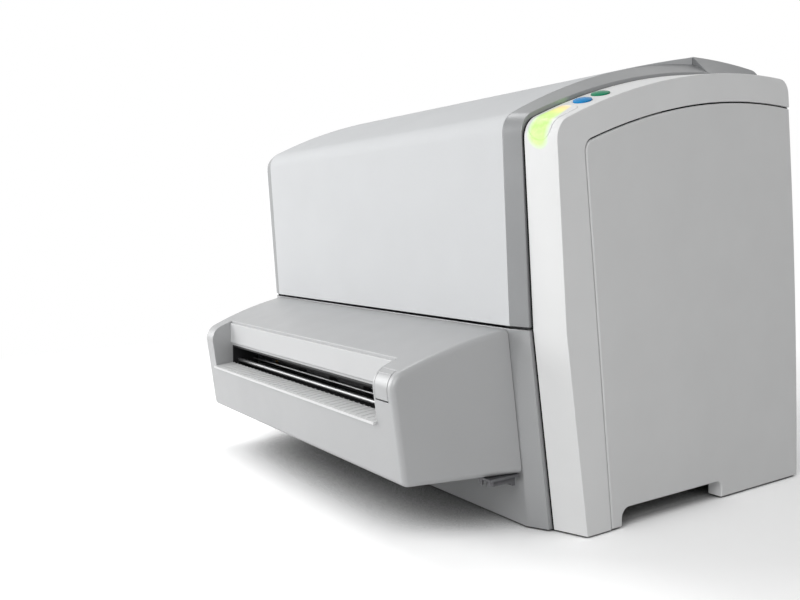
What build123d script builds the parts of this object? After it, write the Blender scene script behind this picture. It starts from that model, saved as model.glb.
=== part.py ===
from build123d import *
from math import atan2, cos, hypot, sin, sqrt
import os

# Computed radiography digitizer, tabletop, millimetres.
# X runs across the width, the front faces -Y, Z is up and the ground is z = 0.
# The origin is under the middle of the bounding box.

# Widths: outer side faces, the strip's inner edge, the trims and the hood panel
SIDE_X = 346.5
STRIP_X = 309.0
TRIM_X = 307.0
PANEL_X = 284.0
SEAM_GAP = 0.3

# Shared places of the side outlines: the bend in the front, the ground gap, the bowed rear
BEND_Z = 229.0
GROUND_GAP = 2.0
REAR_TOP_Y = 247.0
REAR_FOOT_Y = 306.0
REAR_BULGE = 6.4
FRONT_CORNER = 25.0
REAR_CORNER = 20.0

# Each side outline: foot y, bend y, forward lean of the upper front, and the top arc.
# A top arc is the y and height of its highest point, and its radius.
SIDE_OUTLINE = (-106.0, -144.0, 0.091, (211.0, 527.5, 873.0))
STRIP_OUTLINE = (-120.0, -156.0, 0.082, (194.0, 529.5, 865.0))
TRIM_OUTLINE = (-126.0, -160.0, 0.071, (194.0, 533.0, 885.0))
PANEL_OUTLINE = (-138.0, -167.0, 0.064, (194.0, 547.0, 800.0))

# Moulded walls
SKIN = 3.0
LEDGE = 3.3
FLANGE_DEPTH = 14.0
WEB_DEPTH = 12.0

# Hood: bottom seam, where the panel starts to stand proud, its rear end, and the rear cap
HOOD_BOTTOM = 231.5
COVER_TOP = 228.5
PROUD_START_Y = -6.0
PANEL_END_Y = 136.2
PANEL_END_Z = 554.0
PANEL_END_DEPTH = 12.0
CAP_START_Y = 136.6
CAP_END_Y = 250.0
CAP_BOTTOM = 514.0
CAP_ARC = (150.0, 554.8, 560.0)

# The cap's chamfer at its front and rear end: inner edge x and z, and z at the outer edge
CAP_CHAMFER_FRONT = (284.0, 554.6, 531.1)
CAP_CHAMFER_REAR = (300.0, 545.9, 531.2)

HINGE_Y = 240.0
HINGE_Z = 508.0
HINGE_XS = (-200.0, 200.0)

# Inset side panel: its front seam, top arc and the cut-out at the bottom
SEAM_FOOT_Y = -68.0
SEAM_LEAN = 0.129
SEAM_ARC = (214.0, 494.5, 880.0)
SEAM_CORNER = 15.0
PANEL_GAP = 1.7
PANEL_RIM = 1.4
CUTOUT_FRONT_Y = -50.0
CUTOUT_REAR_Y = 135.0
CUTOUT_HEIGHT = 23.0
TRAY_DEPTH = 20.0

# Input unit
UNIT_REAR_X = 284.0
UNIT_FRONT_X = 259.0
UNIT_BOTTOM_Z = 66.0
UNIT_FRONT_Y = -290.0
UNIT_FRONT_LEAN = 0.141
UNIT_TOP_CORNER = 22.0
UNIT_EDGE = 7.0
RECESS_LEFT = -231.0
RECESS_RIGHT = 221.5
RECESS_Y = -273.0
SHELF_FRONT_Y = -303.4
SHELF_FRONT_Z = 131.0
SHELF_SLOPE = 0.1
SHELF_RIBS = 38
VISOR_FACE_Y = -276.0
VISOR_TOP_Z = 194.6
SLOT_TOP_Z = 165.0
THROAT_BOTTOM_Z = 124.0
THROAT_TOP_Z = 163.0
THROAT_REAR_Y = -232.0

# Release key in the right cheek, on a hinge line near its top
KEY_LEFT_X = 225.0
KEY_RIGHT_X = 249.0
KEY_LOW_Z = 158.0
KEY_REAR_Y = -293.0
KEY_HINGE_Y = -294.0
KEY_HINGE_Z = 182.5
KEY_PIN_R = 1.2

# Strip furniture: round keys and the light window
KEY_R = 10.0
KEY_EDGE = 1.2
KEY_PROUD = 2.6
BLUE_KEY_Y = -103.5
GREEN_KEY_Y = -76.0
KEY_X = 324.5
LENS_X = 325.0
LENS_WIDTH = 25.0
LENS_LOW = 184.0
LENS_HIGH = 246.0
LENS_GAP = 0.2

# Frame
PLATE_X = 292.0
PLATE_T = 3.0
PLATE_INSET = 14.0
FLOOR_Z = 8.0
FOOT_R = 20.0

# Rear panel: a flat sheet that leans forward
REAR_LOW_Y = 295.0
REAR_LOW_Z = 12.0
REAR_HIGH_Y = 245.0
REAR_HIGH_Z = 498.0
REAR_T = 2.0

# Roller drive
RAIL_X = 243.0
RAIL_T = 3.0
SHAFT_R = 4.0
SHAFT_FIT = 0.05
DRIVE_R = 12.0
PINCH_R = 8.0
NIP_GAP = 0.3
PULLEY_X = 249.0
PULLEY_W = 7.0
PULLEY_R = 14.0
MOTOR_PULLEY_R = 7.0
BELT_T = 1.4
FEED_Y = -188.0
FEED_Z = 126.5
CASSETTE_T = 15.0
FRONT_ROLLER_Y = -118.0
REAR_ROLLER_Y = 20.0
ROLLER_Z = 134.0
MOTOR_Y = -50.0
MOTOR_Z = 112.0

os.makedirs("parts", exist_ok=True)


def save(name, shape):
    """Writes one piece, or one group of like pieces, under its own name."""
    solids = shape.solids()
    export_step(solids[0] if len(solids) == 1 else Compound(children=list(solids)), f"parts/{name}.step")


def box(x0, x1, y0, y1, z0, z1):
    """Block between two corners."""
    size = (x1 - x0, y1 - y0, z1 - z0)
    return Pos((x0 + x1) / 2, (y0 + y1) / 2, (z0 + z1) / 2) * Box(*size)


def both_sides(shape):
    """The piece and its mirror image on the other side of the middle plane."""
    return shape + mirror(shape, about=Plane.YZ)


def across(face, x0, x1):
    """Side view face, drawn in y and z, pulled from x0 to x1."""
    return extrude(Plane.YZ.offset(x0) * face, amount=x1 - x0)


def rod(x0, x1, y, z, radius):
    """Round bar along X."""
    return Plane.YZ.offset(x0) * Pos(y, z) * extrude(Circle(radius), amount=x1 - x0)


def inset(face, amount):
    """Outline moved inwards by the amount, with its corners kept."""
    return offset(face, -amount, kind=Kind.INTERSECTION)


def arc_z(y, arc):
    """Height of a top arc at y."""
    apex_y, apex_z, radius = arc
    return apex_z - radius + sqrt(radius**2 - (y - apex_y) ** 2)


def arc_point(y, arc):
    """Point of a top arc at y, in the side view."""
    return (y, arc_z(y, arc))


def meeting_point(start, lean, arc):
    """Where a line that leans forward going up meets the top arc."""
    low = start[1]
    high = arc[1]
    for _ in range(50):
        z = (low + high) / 2
        if arc_z(start[0] - lean * (z - start[1]), arc) > z:
            low = z
        else:
            high = z
    return (start[0] - lean * (low - start[1]), low)


def body_outline(outline, bottom=GROUND_GAP, depth=0.0):
    """Closed side view, moved inwards by the depth: front in two slopes, top arc, bowed rear."""
    foot_y, bend_y, lean, arc = outline
    apex_y, apex_z, radius = arc
    rear_top = arc_point(REAR_TOP_Y, arc)
    run = REAR_FOOT_Y - REAR_TOP_Y
    drop = rear_top[1] - GROUND_GAP
    bow_y = (REAR_FOOT_Y + REAR_TOP_Y) / 2 + REAR_BULGE * drop / hypot(run, drop)
    bow_z = (GROUND_GAP + rear_top[1]) / 2 + REAR_BULGE * run / hypot(run, drop)
    bow = ThreePointArc(rear_top, (bow_y, bow_z), (REAR_FOOT_Y, GROUND_GAP))
    face = Pos(apex_y, apex_z - radius) * Circle(radius - depth)
    face &= Pos(bow.arc_center.X, bow.arc_center.Y) * Circle(bow.radius - depth)
    face &= behind_line((foot_y, 0), (foot_y - bend_y) / BEND_Z, depth)
    face &= behind_line((bend_y, BEND_Z), lean, depth)
    face &= Pos(0, bottom + depth + 500) * Rectangle(1000, 1000)
    shoulder = meeting_point((bend_y, BEND_Z), lean, arc)
    face = fillet(face.vertices().sort_by_distance(shoulder)[0], FRONT_CORNER - depth)
    return fillet(face.vertices().sort_by_distance(rear_top)[0], REAR_CORNER - depth)


def behind_line(point, lean, depth):
    """Area behind a line that leans forward going up, moved back by the depth."""
    low = (point[0] + lean * (point[1] + 100), -100)
    high = (point[0] - lean * (700 - point[1]), 700)
    face = make_face(Polyline(low, high, (500, 700), (500, -100), close=True))
    return Pos(depth * hypot(1, lean), 0) * face


def ring(outline, depth):
    """Band of the given depth along the inside of a side outline."""
    return body_outline(outline) - body_outline(outline, depth=depth)


def blend(inner_face, inner_x, outer_face, outer_x):
    """Straight-ruled solid between two side outlines."""
    return loft([Plane.YZ.offset(inner_x) * inner_face, Plane.YZ.offset(outer_x) * outer_face], ruled=True)


def rear_y(z):
    """The rear panel's outer face at a height."""
    return REAR_LOW_Y + (REAR_HIGH_Y - REAR_LOW_Y) * (z - REAR_LOW_Z) / (REAR_HIGH_Z - REAR_LOW_Z)


def rear_plane(x, z, depth=0.0):
    """Plane on the rear panel, facing outwards, with its own x to the viewer's right from behind."""
    lean = atan2(REAR_LOW_Y - REAR_HIGH_Y, REAR_HIGH_Z - REAR_LOW_Z)
    normal = (0, cos(lean), sin(lean))
    face = Plane(origin=(x, rear_y(z), z), x_dir=(-1, 0, 0), z_dir=normal)
    return face.offset(depth)


side_face = body_outline(SIDE_OUTLINE)


def seam_outline():
    """Everything behind and below the arched seam of the inset side panel."""
    foot = (SEAM_FOOT_Y, 0)
    top = meeting_point(foot, SEAM_LEAN, SEAM_ARC)
    below = (SEAM_FOOT_Y + 10 * SEAM_LEAN, -10)
    far = arc_point(REAR_FOOT_Y + 30, SEAM_ARC)
    far_below = (far[0], -10)
    face = make_face(
        [
            Line(below, top),
            ThreePointArc(top, arc_point(SEAM_ARC[0], SEAM_ARC), far),
            Line(far, far_below),
            Line(far_below, below),
        ]
    )
    return fillet(face.vertices().sort_by_distance(top)[0], SEAM_CORNER)


seam_face = seam_outline()


# Side housings: strip and side face in one moulding, open towards the frame

BOSS_PLACES = ((-94, 60), (-118, 200), (-138, 400), (-30, 476), (70, 494), (222, 504))
BOSS_R = 6.0

strip_body = blend(body_outline(STRIP_OUTLINE), STRIP_X, side_face, SIDE_X)
strip_inside = blend(
    body_outline(STRIP_OUTLINE, depth=SKIN), STRIP_X, body_outline(SIDE_OUTLINE, depth=SKIN), SIDE_X - SKIN
)


def strip_frame(y):
    """Point and outward normal on the top of the strip, at KEY_X and the given y."""
    share = (KEY_X - STRIP_X) / (SIDE_X - STRIP_X)

    def height(x_share, at_y):
        inner_z = arc_z(at_y, STRIP_OUTLINE[3])
        outer_z = arc_z(at_y, SIDE_OUTLINE[3])
        return inner_z + (outer_z - inner_z) * x_share

    point = Vector(KEY_X, y, height(share, y))
    along_y = Vector(0, 2, height(share, y + 1) - height(share, y - 1))
    along_x = Vector(SIDE_X - STRIP_X, 0, height(1, y) - height(0, y))
    return Plane(origin=point, x_dir=along_x, z_dir=along_x.cross(along_y))


def housing_shell():
    """Right-hand housing without the keys and light window."""
    jamb = across(offset(seam_face, SKIN, kind=Kind.INTERSECTION), SIDE_X - TRAY_DEPTH - 6, SIDE_X)
    shell = strip_body - (strip_inside - jamb) - across(seam_face, STRIP_X - 5, SIDE_X + 5)
    for y, z in BOSS_PLACES:
        boss = rod(PLATE_X + PLATE_T, SIDE_X - SKIN, y, z, BOSS_R)
        shell += boss - rod(PLATE_X, SIDE_X - SKIN - 8, y, z, 2.5)
    return shell


corner_plane = Plane(origin=(LENS_X, -150, 440), x_dir=(1, 0, 0), z_dir=(0, -1, 1))


def light_window(gap):
    """Rounded window shape, pulled through the strip's top corner along its diagonal."""
    middle = (LENS_LOW + LENS_HIGH) / 2 - (-150 + 440) / sqrt(2)
    shape = RectangleRounded(LENS_WIDTH - 2 * gap, LENS_HIGH - LENS_LOW - 2 * gap, 11)
    return corner_plane * Pos(0, middle) * extrude(shape, amount=40, both=True)


plain_housing = housing_shell()
lens = (strip_body - strip_inside) & light_window(LENS_GAP)
right_housing = plain_housing - light_window(0)
key_planes = {"blue_key": strip_frame(BLUE_KEY_Y), "green_key": strip_frame(GREEN_KEY_Y)}
for key_plane in key_planes.values():
    right_housing -= key_plane * extrude(Circle(KEY_R + 0.3), amount=12, both=True)

save("right_side_housing", right_housing)
save("left_side_housing", mirror(plain_housing, about=Plane.YZ))
save("status_light_lens", lens)


def round_key():
    """Domed round key with a stem, drawn about its own centre on the strip's surface."""
    rise = KEY_PROUD - KEY_EDGE
    dome_r = (KEY_R**2 + rise**2) / (2 * rise)
    cap = Pos(0, 0, -6) * extrude(Circle(KEY_R), amount=6 + KEY_PROUD)
    cap &= Pos(0, 0, KEY_PROUD - dome_r) * Sphere(dome_r)
    return cap + Pos(0, 0, -6) * extrude(Circle(4), amount=-4)


for name, key_plane in key_planes.items():
    save(name, key_plane * round_key())

# The board below the keys, square to their travel, and the board behind the light window
board_plane = strip_frame((BLUE_KEY_Y + GREEN_KEY_Y) / 2)
key_board = board_plane * Pos(0, 0, -16) * Box(26, 56, 1.6)
for offset_y in (-14.4, 14.4):
    key_board += board_plane * Pos(0, offset_y, -13.7) * Box(6, 6, 3)
light_board = corner_plane * Pos(0, 5, -14) * Box(22, 50, 1.6)
for row in range(4):
    light_board += corner_plane * Pos(0, -13 + 12 * row, -12.4) * Box(5, 5, 1.6)
save("strip_boards", Compound(children=[key_board.solids()[0], light_board.solids()[0]]))


# Side panels: shallow trays behind the seam, with the long cut-out between their two feet


def side_panel():
    """Right-hand tray with a chamfered rim and upright ribs inside its face."""
    outline = inset(seam_face, PANEL_GAP) & side_face
    middle_y = (CUTOUT_FRONT_Y + CUTOUT_REAR_Y) / 2
    cutout = Pos(middle_y, 0) * Rectangle(CUTOUT_REAR_Y - CUTOUT_FRONT_Y, 2 * CUTOUT_HEIGHT)
    cutout = fillet(cutout.vertices().group_by(Axis.Y)[-1], 11)
    outline -= cutout
    panel = across(outline, SIDE_X - TRAY_DEPTH, SIDE_X)
    panel -= across(inset(outline, SKIN), SIDE_X - TRAY_DEPTH - 1, SIDE_X - SKIN)
    outer_rim = panel.faces().sort_by(Axis.X)[-1].edges()
    panel = chamfer(outer_rim, PANEL_RIM)
    for y in (-20, 60, 140, 220):
        panel += box(SIDE_X - 11, SIDE_X - SKIN, y - 1.2, y + 1.2, 45, 400)
    return panel


right_panel = side_panel()
save("right_side_panel", right_panel)
save("left_side_panel", mirror(right_panel, about=Plane.YZ))


# Hood: silver frame of two chamfered trims and a rear cap, with a light panel between


def trim_shell():
    """Chamfered end as a skin with a web beside the panel and a flange at the outer edge."""
    full = blend(body_outline(PANEL_OUTLINE), PANEL_X, body_outline(TRIM_OUTLINE), TRIM_X)
    panel_inside = body_outline(PANEL_OUTLINE, depth=SKIN)
    trim_inside = body_outline(TRIM_OUTLINE, depth=SKIN)
    skin = full - blend(panel_inside, PANEL_X, trim_inside, TRIM_X)
    web = across(ring(PANEL_OUTLINE, WEB_DEPTH), PANEL_X, PANEL_X + SKIN) & full
    flange = across(ring(TRIM_OUTLINE, FLANGE_DEPTH), TRIM_X - SKIN, TRIM_X)
    return skin + web + flange


def cap_outline():
    """Side view of the rear cap under its top arc."""
    front_top = arc_point(CAP_START_Y, CAP_ARC)
    rear_top = arc_point(CAP_END_Y, CAP_ARC)
    crest = arc_point((CAP_START_Y + CAP_END_Y) / 2, CAP_ARC)
    face = make_face(
        [
            Line((CAP_START_Y, CAP_BOTTOM), front_top),
            ThreePointArc(front_top, crest, rear_top),
            Line(rear_top, (CAP_END_Y, CAP_BOTTOM)),
            Line((CAP_END_Y, CAP_BOTTOM), (CAP_START_Y, CAP_BOTTOM)),
        ]
    )
    return fillet(face.vertices().sort_by_distance(rear_top)[0], 10)


def chamfer_section(y, inner_x, inner_z, outer_z):
    """Everything above the cap's chamfer line, in the cross-section at y."""
    slope = (inner_z - outer_z) / (TRIM_X - inner_x)
    above_z = CAP_ARC[1] + 20
    beyond_x = TRIM_X + 15
    high = (inner_x - (above_z - inner_z) / slope, above_z)
    low = (beyond_x, outer_z - slope * 15)
    section = make_face(Polyline(high, low, (beyond_x + 20, low[1]), (beyond_x + 20, above_z), close=True))
    return Plane.XZ.offset(-y) * section


def rear_cap():
    """Hollow cap across the rear, with a chamfer at each end that narrows towards the rear."""
    high = cap_outline()
    front_section = chamfer_section(CAP_START_Y - 1, *CAP_CHAMFER_FRONT)
    rear_section = chamfer_section(CAP_END_Y + 1, *CAP_CHAMFER_REAR)
    chamfered = loft([front_section, rear_section], ruled=True)
    cap = across(high, -TRIM_X, TRIM_X) - both_sides(chamfered)
    hollow = across(inset(high, SKIN), SKIN - TRIM_X, TRIM_X - SKIN)
    hollow -= both_sides(Pos(-SKIN, 0, -SKIN / 2) * chamfered)
    opening_x = TRIM_X - SKIN
    opening = box(
        -opening_x, opening_x, CAP_START_Y + SKIN, CAP_END_Y - SKIN, CAP_BOTTOM - 1, CAP_BOTTOM + 6
    )
    return cap - hollow - opening


def hood_ledges():
    """Ledge under each side edge of the panel, and the rail behind its bottom edge."""
    under_panel = body_outline(PANEL_OUTLINE, depth=LEDGE)
    ledge_band = under_panel - body_outline(PANEL_OUTLINE, depth=LEDGE + SKIN)
    ledge = across(ledge_band, PANEL_X - 20, PANEL_X + 1)
    rail_band = under_panel - body_outline(PANEL_OUTLINE, depth=LEDGE + 6)
    rail_space = box(-TRIM_X, TRIM_X, -200, -100, HOOD_BOTTOM, HOOD_BOTTOM + 22)
    return both_sides(ledge), across(rail_band, -PANEL_X, PANEL_X) & rail_space


ledges, rail = hood_ledges()
in_front_of_cap = box(-TRIM_X, TRIM_X, -260, CAP_START_Y + 1, HOOD_BOTTOM, 620)
hood_frame = ((both_sides(trim_shell()) + ledges) & in_front_of_cap) + rail + rear_cap()
save("hood_frame", hood_frame)


def proud_outline():
    """Side view of the hood panel: the trim's inner outline, then a flatter arc that stands proud."""
    _, bend_y, lean, arc = PANEL_OUTLINE
    apex_y, apex_z, radius = arc
    shoulder = meeting_point((bend_y, BEND_Z), lean, arc)
    low_z = BEND_Z - 30
    low = (bend_y + lean * (BEND_Z - low_z), low_z)
    leave = arc_point(PROUD_START_Y, arc)
    rise = (apex_y - leave[0]) / (leave[1] - apex_z + radius)
    middle = arc_point((shoulder[0] + leave[0]) / 2, arc)
    end = (PANEL_END_Y, PANEL_END_Z)
    face = make_face(
        [
            Line(low, shoulder),
            ThreePointArc(shoulder, middle, leave),
            TangentArc(leave, end, tangent=(1, rise)),
            Line(end, (PANEL_END_Y, low_z)),
            Line((PANEL_END_Y, low_z), low),
        ]
    )
    return fillet(face.vertices().sort_by_distance(shoulder)[0], FRONT_CORNER)


def hood_panel():
    """Light panel between the trims, with a rim down each side and four ribs under the top."""
    outline = proud_outline()
    edge_x = PANEL_X - SEAM_GAP
    kept = box(-edge_x, edge_x, -260, PANEL_END_Y, HOOD_BOTTOM, 620)
    panel = across(outline - inset(outline, SKIN), -edge_x, edge_x) & kept
    panel -= box(-edge_x, edge_x, PANEL_END_Y - SKIN, PANEL_END_Y + 1, 0, PANEL_END_Z - PANEL_END_DEPTH)
    rim_face = outline - body_outline(PANEL_OUTLINE, depth=SKIN)
    panel += both_sides(across(rim_face, edge_x - SKIN, edge_x) & kept)
    rib_reach = Pos(-20, 450) * Rectangle(260, 240)
    rib_face = (inset(outline, SKIN - 0.5) - inset(outline, SKIN + 9)) & rib_reach
    for x in (57, 170):
        panel += both_sides(across(rib_face, x - 1.2, x + 1.2))
    return panel


save("hood_panel", hood_panel())


def hinge_leaf(x):
    """Moving leaf: a knuckle on the pin, with its plate screwed inside the cap's rear wall."""
    knuckle = rod(x - 9, x + 9, HINGE_Y, HINGE_Z, 5)
    plate_y = CAP_END_Y - SKIN
    leaf = box(x - 9, x + 9, plate_y - 2.5, plate_y, HINGE_Z - 2, CAP_BOTTOM + 24)
    arm = box(x - 9, x + 9, HINGE_Y, plate_y, HINGE_Z - 2, HINGE_Z + 2)
    return knuckle + leaf + arm - rod(x - 10, x + 10, HINGE_Y, HINGE_Z, 3 + SHAFT_FIT)


def hinge_bracket(x):
    """Fixed bracket: two ears on a foot, and the pin through them."""
    foot = box(x - 16, x + 16, HINGE_Y - 26, HINGE_Y + 3, 495, 498)
    ear_face = Pos(HINGE_Y, HINGE_Z) * Circle(5.5) + Pos(HINGE_Y - 2, HINGE_Z - 6) * Rectangle(7, 12)
    ears = across(ear_face, x - 14, x - 10.2) + across(ear_face, x + 10.2, x + 14)
    pin = rod(x - 15.5, x + 15.5, HINGE_Y, HINGE_Z, 3)
    return foot + ears + pin


save("hood_hinge_leaves", hinge_leaf(HINGE_XS[0]) + hinge_leaf(HINGE_XS[1]))
save("hood_hinge_brackets", hinge_bracket(HINGE_XS[0]) + hinge_bracket(HINGE_XS[1]))


# Lower front cover: one moulding with the same chamfered ends, open where the input unit joins


def lower_front_cover():
    middle = across(ring(PANEL_OUTLINE, SKIN), -PANEL_X, PANEL_X)
    below_seam = box(-TRIM_X, TRIM_X, -260, -98, GROUND_GAP, COVER_TOP)
    window_cut = box(-262, 262, -200, -100, 72, 220)
    return ((middle + both_sides(trim_shell())) & below_seam) - window_cut


save("lower_front_cover", lower_front_cover())


# Input unit: projecting moulded housing, recessed between two cheeks


def unit_outline():
    """Side view of the input unit."""
    panel_foot, panel_bend = PANEL_OUTLINE[0], PANEL_OUTLINE[1]
    slope = (panel_foot - panel_bend) / BEND_Z
    rear_low = (panel_foot - slope * 64 - SEAM_GAP, 64)
    rear_high = (panel_foot - slope * 227.5 - SEAM_GAP, 227.5)
    front_low = (UNIT_FRONT_Y, UNIT_BOTTOM_Z)
    front_top = (UNIT_FRONT_Y - UNIT_FRONT_LEAN * 118, UNIT_BOTTOM_Z + 118)
    face = make_face(
        [
            Line(rear_low, front_low),
            Line(front_low, front_top),
            ThreePointArc(front_top, (-236, 211), rear_high),
            Line(rear_high, rear_low),
        ]
    )
    face = fillet(face.vertices().sort_by_distance(front_top)[0], UNIT_TOP_CORNER)
    return fillet(face.vertices().sort_by_distance(front_low)[0], 8)


def unit_plan(rear_x, front_x, rear_y_end, front_y_end):
    """Tapered plan of the input unit, pulled up through its height."""
    right = [(front_x, front_y_end), (rear_x, rear_y_end)]
    left = [(-rear_x, rear_y_end), (-front_x, front_y_end)]
    return extrude(make_face(Polyline(*left, *right, close=True)), amount=300)


def recess_solid(wall, rear_y_end, lowered):
    """Space in front of the visor and above the shelf, widened by a wall at each side."""
    front = (-330, SHELF_FRONT_Z + SHELF_SLOPE * (-330 - SHELF_FRONT_Y) - lowered)
    rear = (rear_y_end, SHELF_FRONT_Z + SHELF_SLOPE * (rear_y_end - SHELF_FRONT_Y) - lowered)
    face = make_face(Polyline(front, rear, (rear_y_end, 260), (-330, 260), close=True))
    return across(face, RECESS_LEFT - wall, RECESS_RIGHT + wall)


unit_face = unit_outline()
taper = (UNIT_REAR_X - UNIT_FRONT_X) / 155.0
unit_body = across(unit_face, -UNIT_REAR_X - 5, UNIT_REAR_X + 5) & unit_plan(
    UNIT_REAR_X + 10 * taper, UNIT_FRONT_X - 10 * taper, -140, -315
)
side_edges = unit_body.faces().sort_by(Axis.X)[-1].edges().filter_by(lambda e: e.center().Y < -170)
side_edges += unit_body.faces().sort_by(Axis.X)[0].edges().filter_by(lambda e: e.center().Y < -170)
unit_body = fillet(side_edges, UNIT_EDGE)
unit_hollow = across(inset(unit_face, SKIN), -UNIT_REAR_X, UNIT_REAR_X) & unit_plan(
    UNIT_REAR_X - SKIN + 10 * taper, UNIT_FRONT_X - SKIN - 10 * taper, -140, -315
)
walls_kept = recess_solid(SKIN, RECESS_Y + SKIN, 2 * SKIN)
slot_tunnel = box(RECESS_LEFT, RECESS_RIGHT, -290, -240, THROAT_BOTTOM_Z, THROAT_TOP_Z - 2)
rear_window = box(-262, 262, -190, -140, 72, 216)
input_unit = unit_body - (unit_hollow - walls_kept) - recess_solid(0, RECESS_Y, SKIN)
input_unit -= slot_tunnel + rear_window

# The release key takes the middle of the right cheek's rounded top, on a pin between its walls
key_left_wall = RECESS_RIGHT + SKIN
input_unit -= box(key_left_wall, KEY_RIGHT_X + 0.5, -330, KEY_REAR_Y + 0.5, KEY_LOW_Z - 1.6, 230)
input_unit += rod(RECESS_RIGHT + 1, KEY_RIGHT_X + 9.5, KEY_HINGE_Y, KEY_HINGE_Z, KEY_PIN_R)
save("input_unit_housing", input_unit)


def release_key():
    """Curved flap that follows the cheek, with a knuckle under its top edge."""
    flap = unit_body - across(inset(unit_face, SKIN), -300, 300)
    flap &= box(KEY_LEFT_X, KEY_RIGHT_X, -330, KEY_REAR_Y, KEY_LOW_Z, 230)
    knuckle = rod(KEY_LEFT_X, KEY_RIGHT_X, KEY_HINGE_Y, KEY_HINGE_Z, KEY_PIN_R + 1.4)
    bore = rod(KEY_LEFT_X - 1, KEY_RIGHT_X + 1, KEY_HINGE_Y, KEY_HINGE_Z, KEY_PIN_R + SHAFT_FIT)
    web = box(KEY_LEFT_X, KEY_RIGHT_X, KEY_HINGE_Y - 5, KEY_HINGE_Y, KEY_HINGE_Z + 1, KEY_HINGE_Z + 4)
    return flap + knuckle + web - bore


save("release_key", release_key())


def slot_visor():
    """Plate above the slot, chamfered round its face."""
    plate = box(
        RECESS_LEFT + 0.3, RECESS_RIGHT - 0.3, VISOR_FACE_Y, RECESS_Y, SLOT_TOP_Z, VISOR_TOP_Z
    )
    return chamfer(plate.faces().sort_by(Axis.Y)[0].edges(), 0.8)


save("slot_visor", slot_visor())


def cassette_shelf():
    """Sloping shelf between the cheeks, with fine ribs that run front to back."""

    def top(y):
        return SHELF_FRONT_Z + SHELF_SLOPE * (y - SHELF_FRONT_Y)

    rear = RECESS_Y + 0.5
    plate_face = make_face(
        Polyline(
            (SHELF_FRONT_Y, top(SHELF_FRONT_Y)),
            (rear, top(rear)),
            (rear, top(rear) - SKIN),
            (SHELF_FRONT_Y, top(SHELF_FRONT_Y) - SKIN),
            close=True,
        )
    )
    rib_front = SHELF_FRONT_Y + 2.5
    rib_face = make_face(
        Polyline(
            (rib_front, top(rib_front) - 0.5),
            (rear, top(rear) - 0.5),
            (rear, top(rear) + 0.8),
            (rib_front + 1, top(rib_front) + 0.8),
            close=True,
        )
    )
    shelf = across(plate_face, RECESS_LEFT + 0.3, RECESS_RIGHT - 0.3)
    first_x = RECESS_LEFT + 8.3
    pitch = (RECESS_RIGHT - 8.3 - first_x) / (SHELF_RIBS - 1)
    rib_xs = [first_x + pitch * i for i in range(SHELF_RIBS)]
    return shelf + [across(rib_face, x - 1, x + 1) for x in rib_xs]


save("cassette_shelf", cassette_shelf())


def slot_throat():
    """Black channel that the cassette slides through, with end walls that carry the guide bars."""
    outer = box(RECESS_LEFT, RECESS_RIGHT, RECESS_Y + 0.7, THROAT_REAR_Y, THROAT_BOTTOM_Z, THROAT_TOP_Z - 2)
    inner = box(bar_left, bar_right, -280, -220, THROAT_BOTTOM_Z + 3, THROAT_TOP_Z - 4.5)
    return outer - inner


bar_left = RECESS_LEFT + 2.5
bar_right = RECESS_RIGHT - 2.5
save("slot_throat", slot_throat())
save("guide_bars", rod(bar_left, bar_right, -262, 137.5, 3) + rod(bar_left, bar_right, -238, 138.0, 1.5))


def dust_flap():
    """Thin flap that hangs behind the throat and swings in as a cassette enters."""
    pin_y = THROAT_REAR_Y + 4
    spindle = rod(-RAIL_X - 2.5, RAIL_X + 2.5, pin_y, 166, 1.5)
    blade = box(-225, 225, pin_y - 0.8, pin_y + 0.8, 141, 166)
    roll = rod(-225, 225, pin_y, 166, 2.6)
    return spindle + blade + roll


save("dust_flap", dust_flap())


# Latch under the input unit, at its right rear corner

LATCH_X = 275.0
LATCH_Y = -184.0
LATCH_PIN_R = 2.5


def latch_bracket():
    """Plate against the unit's bottom, with a stop at each end beside the closed lever."""
    bracket = box(262, 283, -192, -150, 61.2, 64)
    bracket += box(264, LATCH_X - 5.4, -192, -189.8, 55.5, 62)
    bracket += box(262, LATCH_X - 5.4, -154, -151, 55.5, 62)
    return bracket - Pos(LATCH_X, LATCH_Y, 62) * Cylinder(LATCH_PIN_R + 0.1, 10)


def latch_lever():
    """Flat bar on an upright pin near its front end; its rear end swings out to the side."""
    lever = Pos(LATCH_X, LATCH_Y, 57.8) * Cylinder(5, 6)
    lever += box(LATCH_X - 5, LATCH_X + 5, LATCH_Y, -153, 54.8, 60.8)
    lever += box(LATCH_X - 5, LATCH_X + 5, -157, -153, 51, 55)
    return lever + Pos(LATCH_X, LATCH_Y, 62) * Cylinder(LATCH_PIN_R, 3.6)


save("latch_bracket", latch_bracket())
save("latch_lever", latch_lever())


# Frame: base tray, two upright plates and the members between them

FOOT_PLACES = ((-240, -55), (240, -55), (-240, 250), (240, 250))
STANDOFF_PLACES = ((-262, 38), (-262, 232), (-48, 38), (-48, 232))


def base_tray():
    """Folded tray between the frame plates, with vent slots and the board's standoffs."""
    half = PLATE_X - 0.2
    tray = box(-half, half, -90, 280, FLOOR_Z, FLOOR_Z + 3)
    tray += box(-half, half, -90, -87, FLOOR_Z, FLOOR_Z + 24)
    tray += box(-half, half, 277, 280, FLOOR_Z, FLOOR_Z + 24)
    for row in range(8):
        tray -= Pos(-150 + 14 * row, -30, FLOOR_Z + 1) * Box(4, 60, 10)
    for x, y in STANDOFF_PLACES:
        tray += Pos(x, y, FLOOR_Z + 8.5) * Cylinder(3.5, 11)
    return tray


save("base_tray", base_tray())
feet = [Pos(x, y, FLOOR_Z / 2) * Cone(FOOT_R - 3, FOOT_R, FLOOR_Z) for x, y in FOOT_PLACES]
save("rubber_feet", Compound(children=feet))


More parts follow.
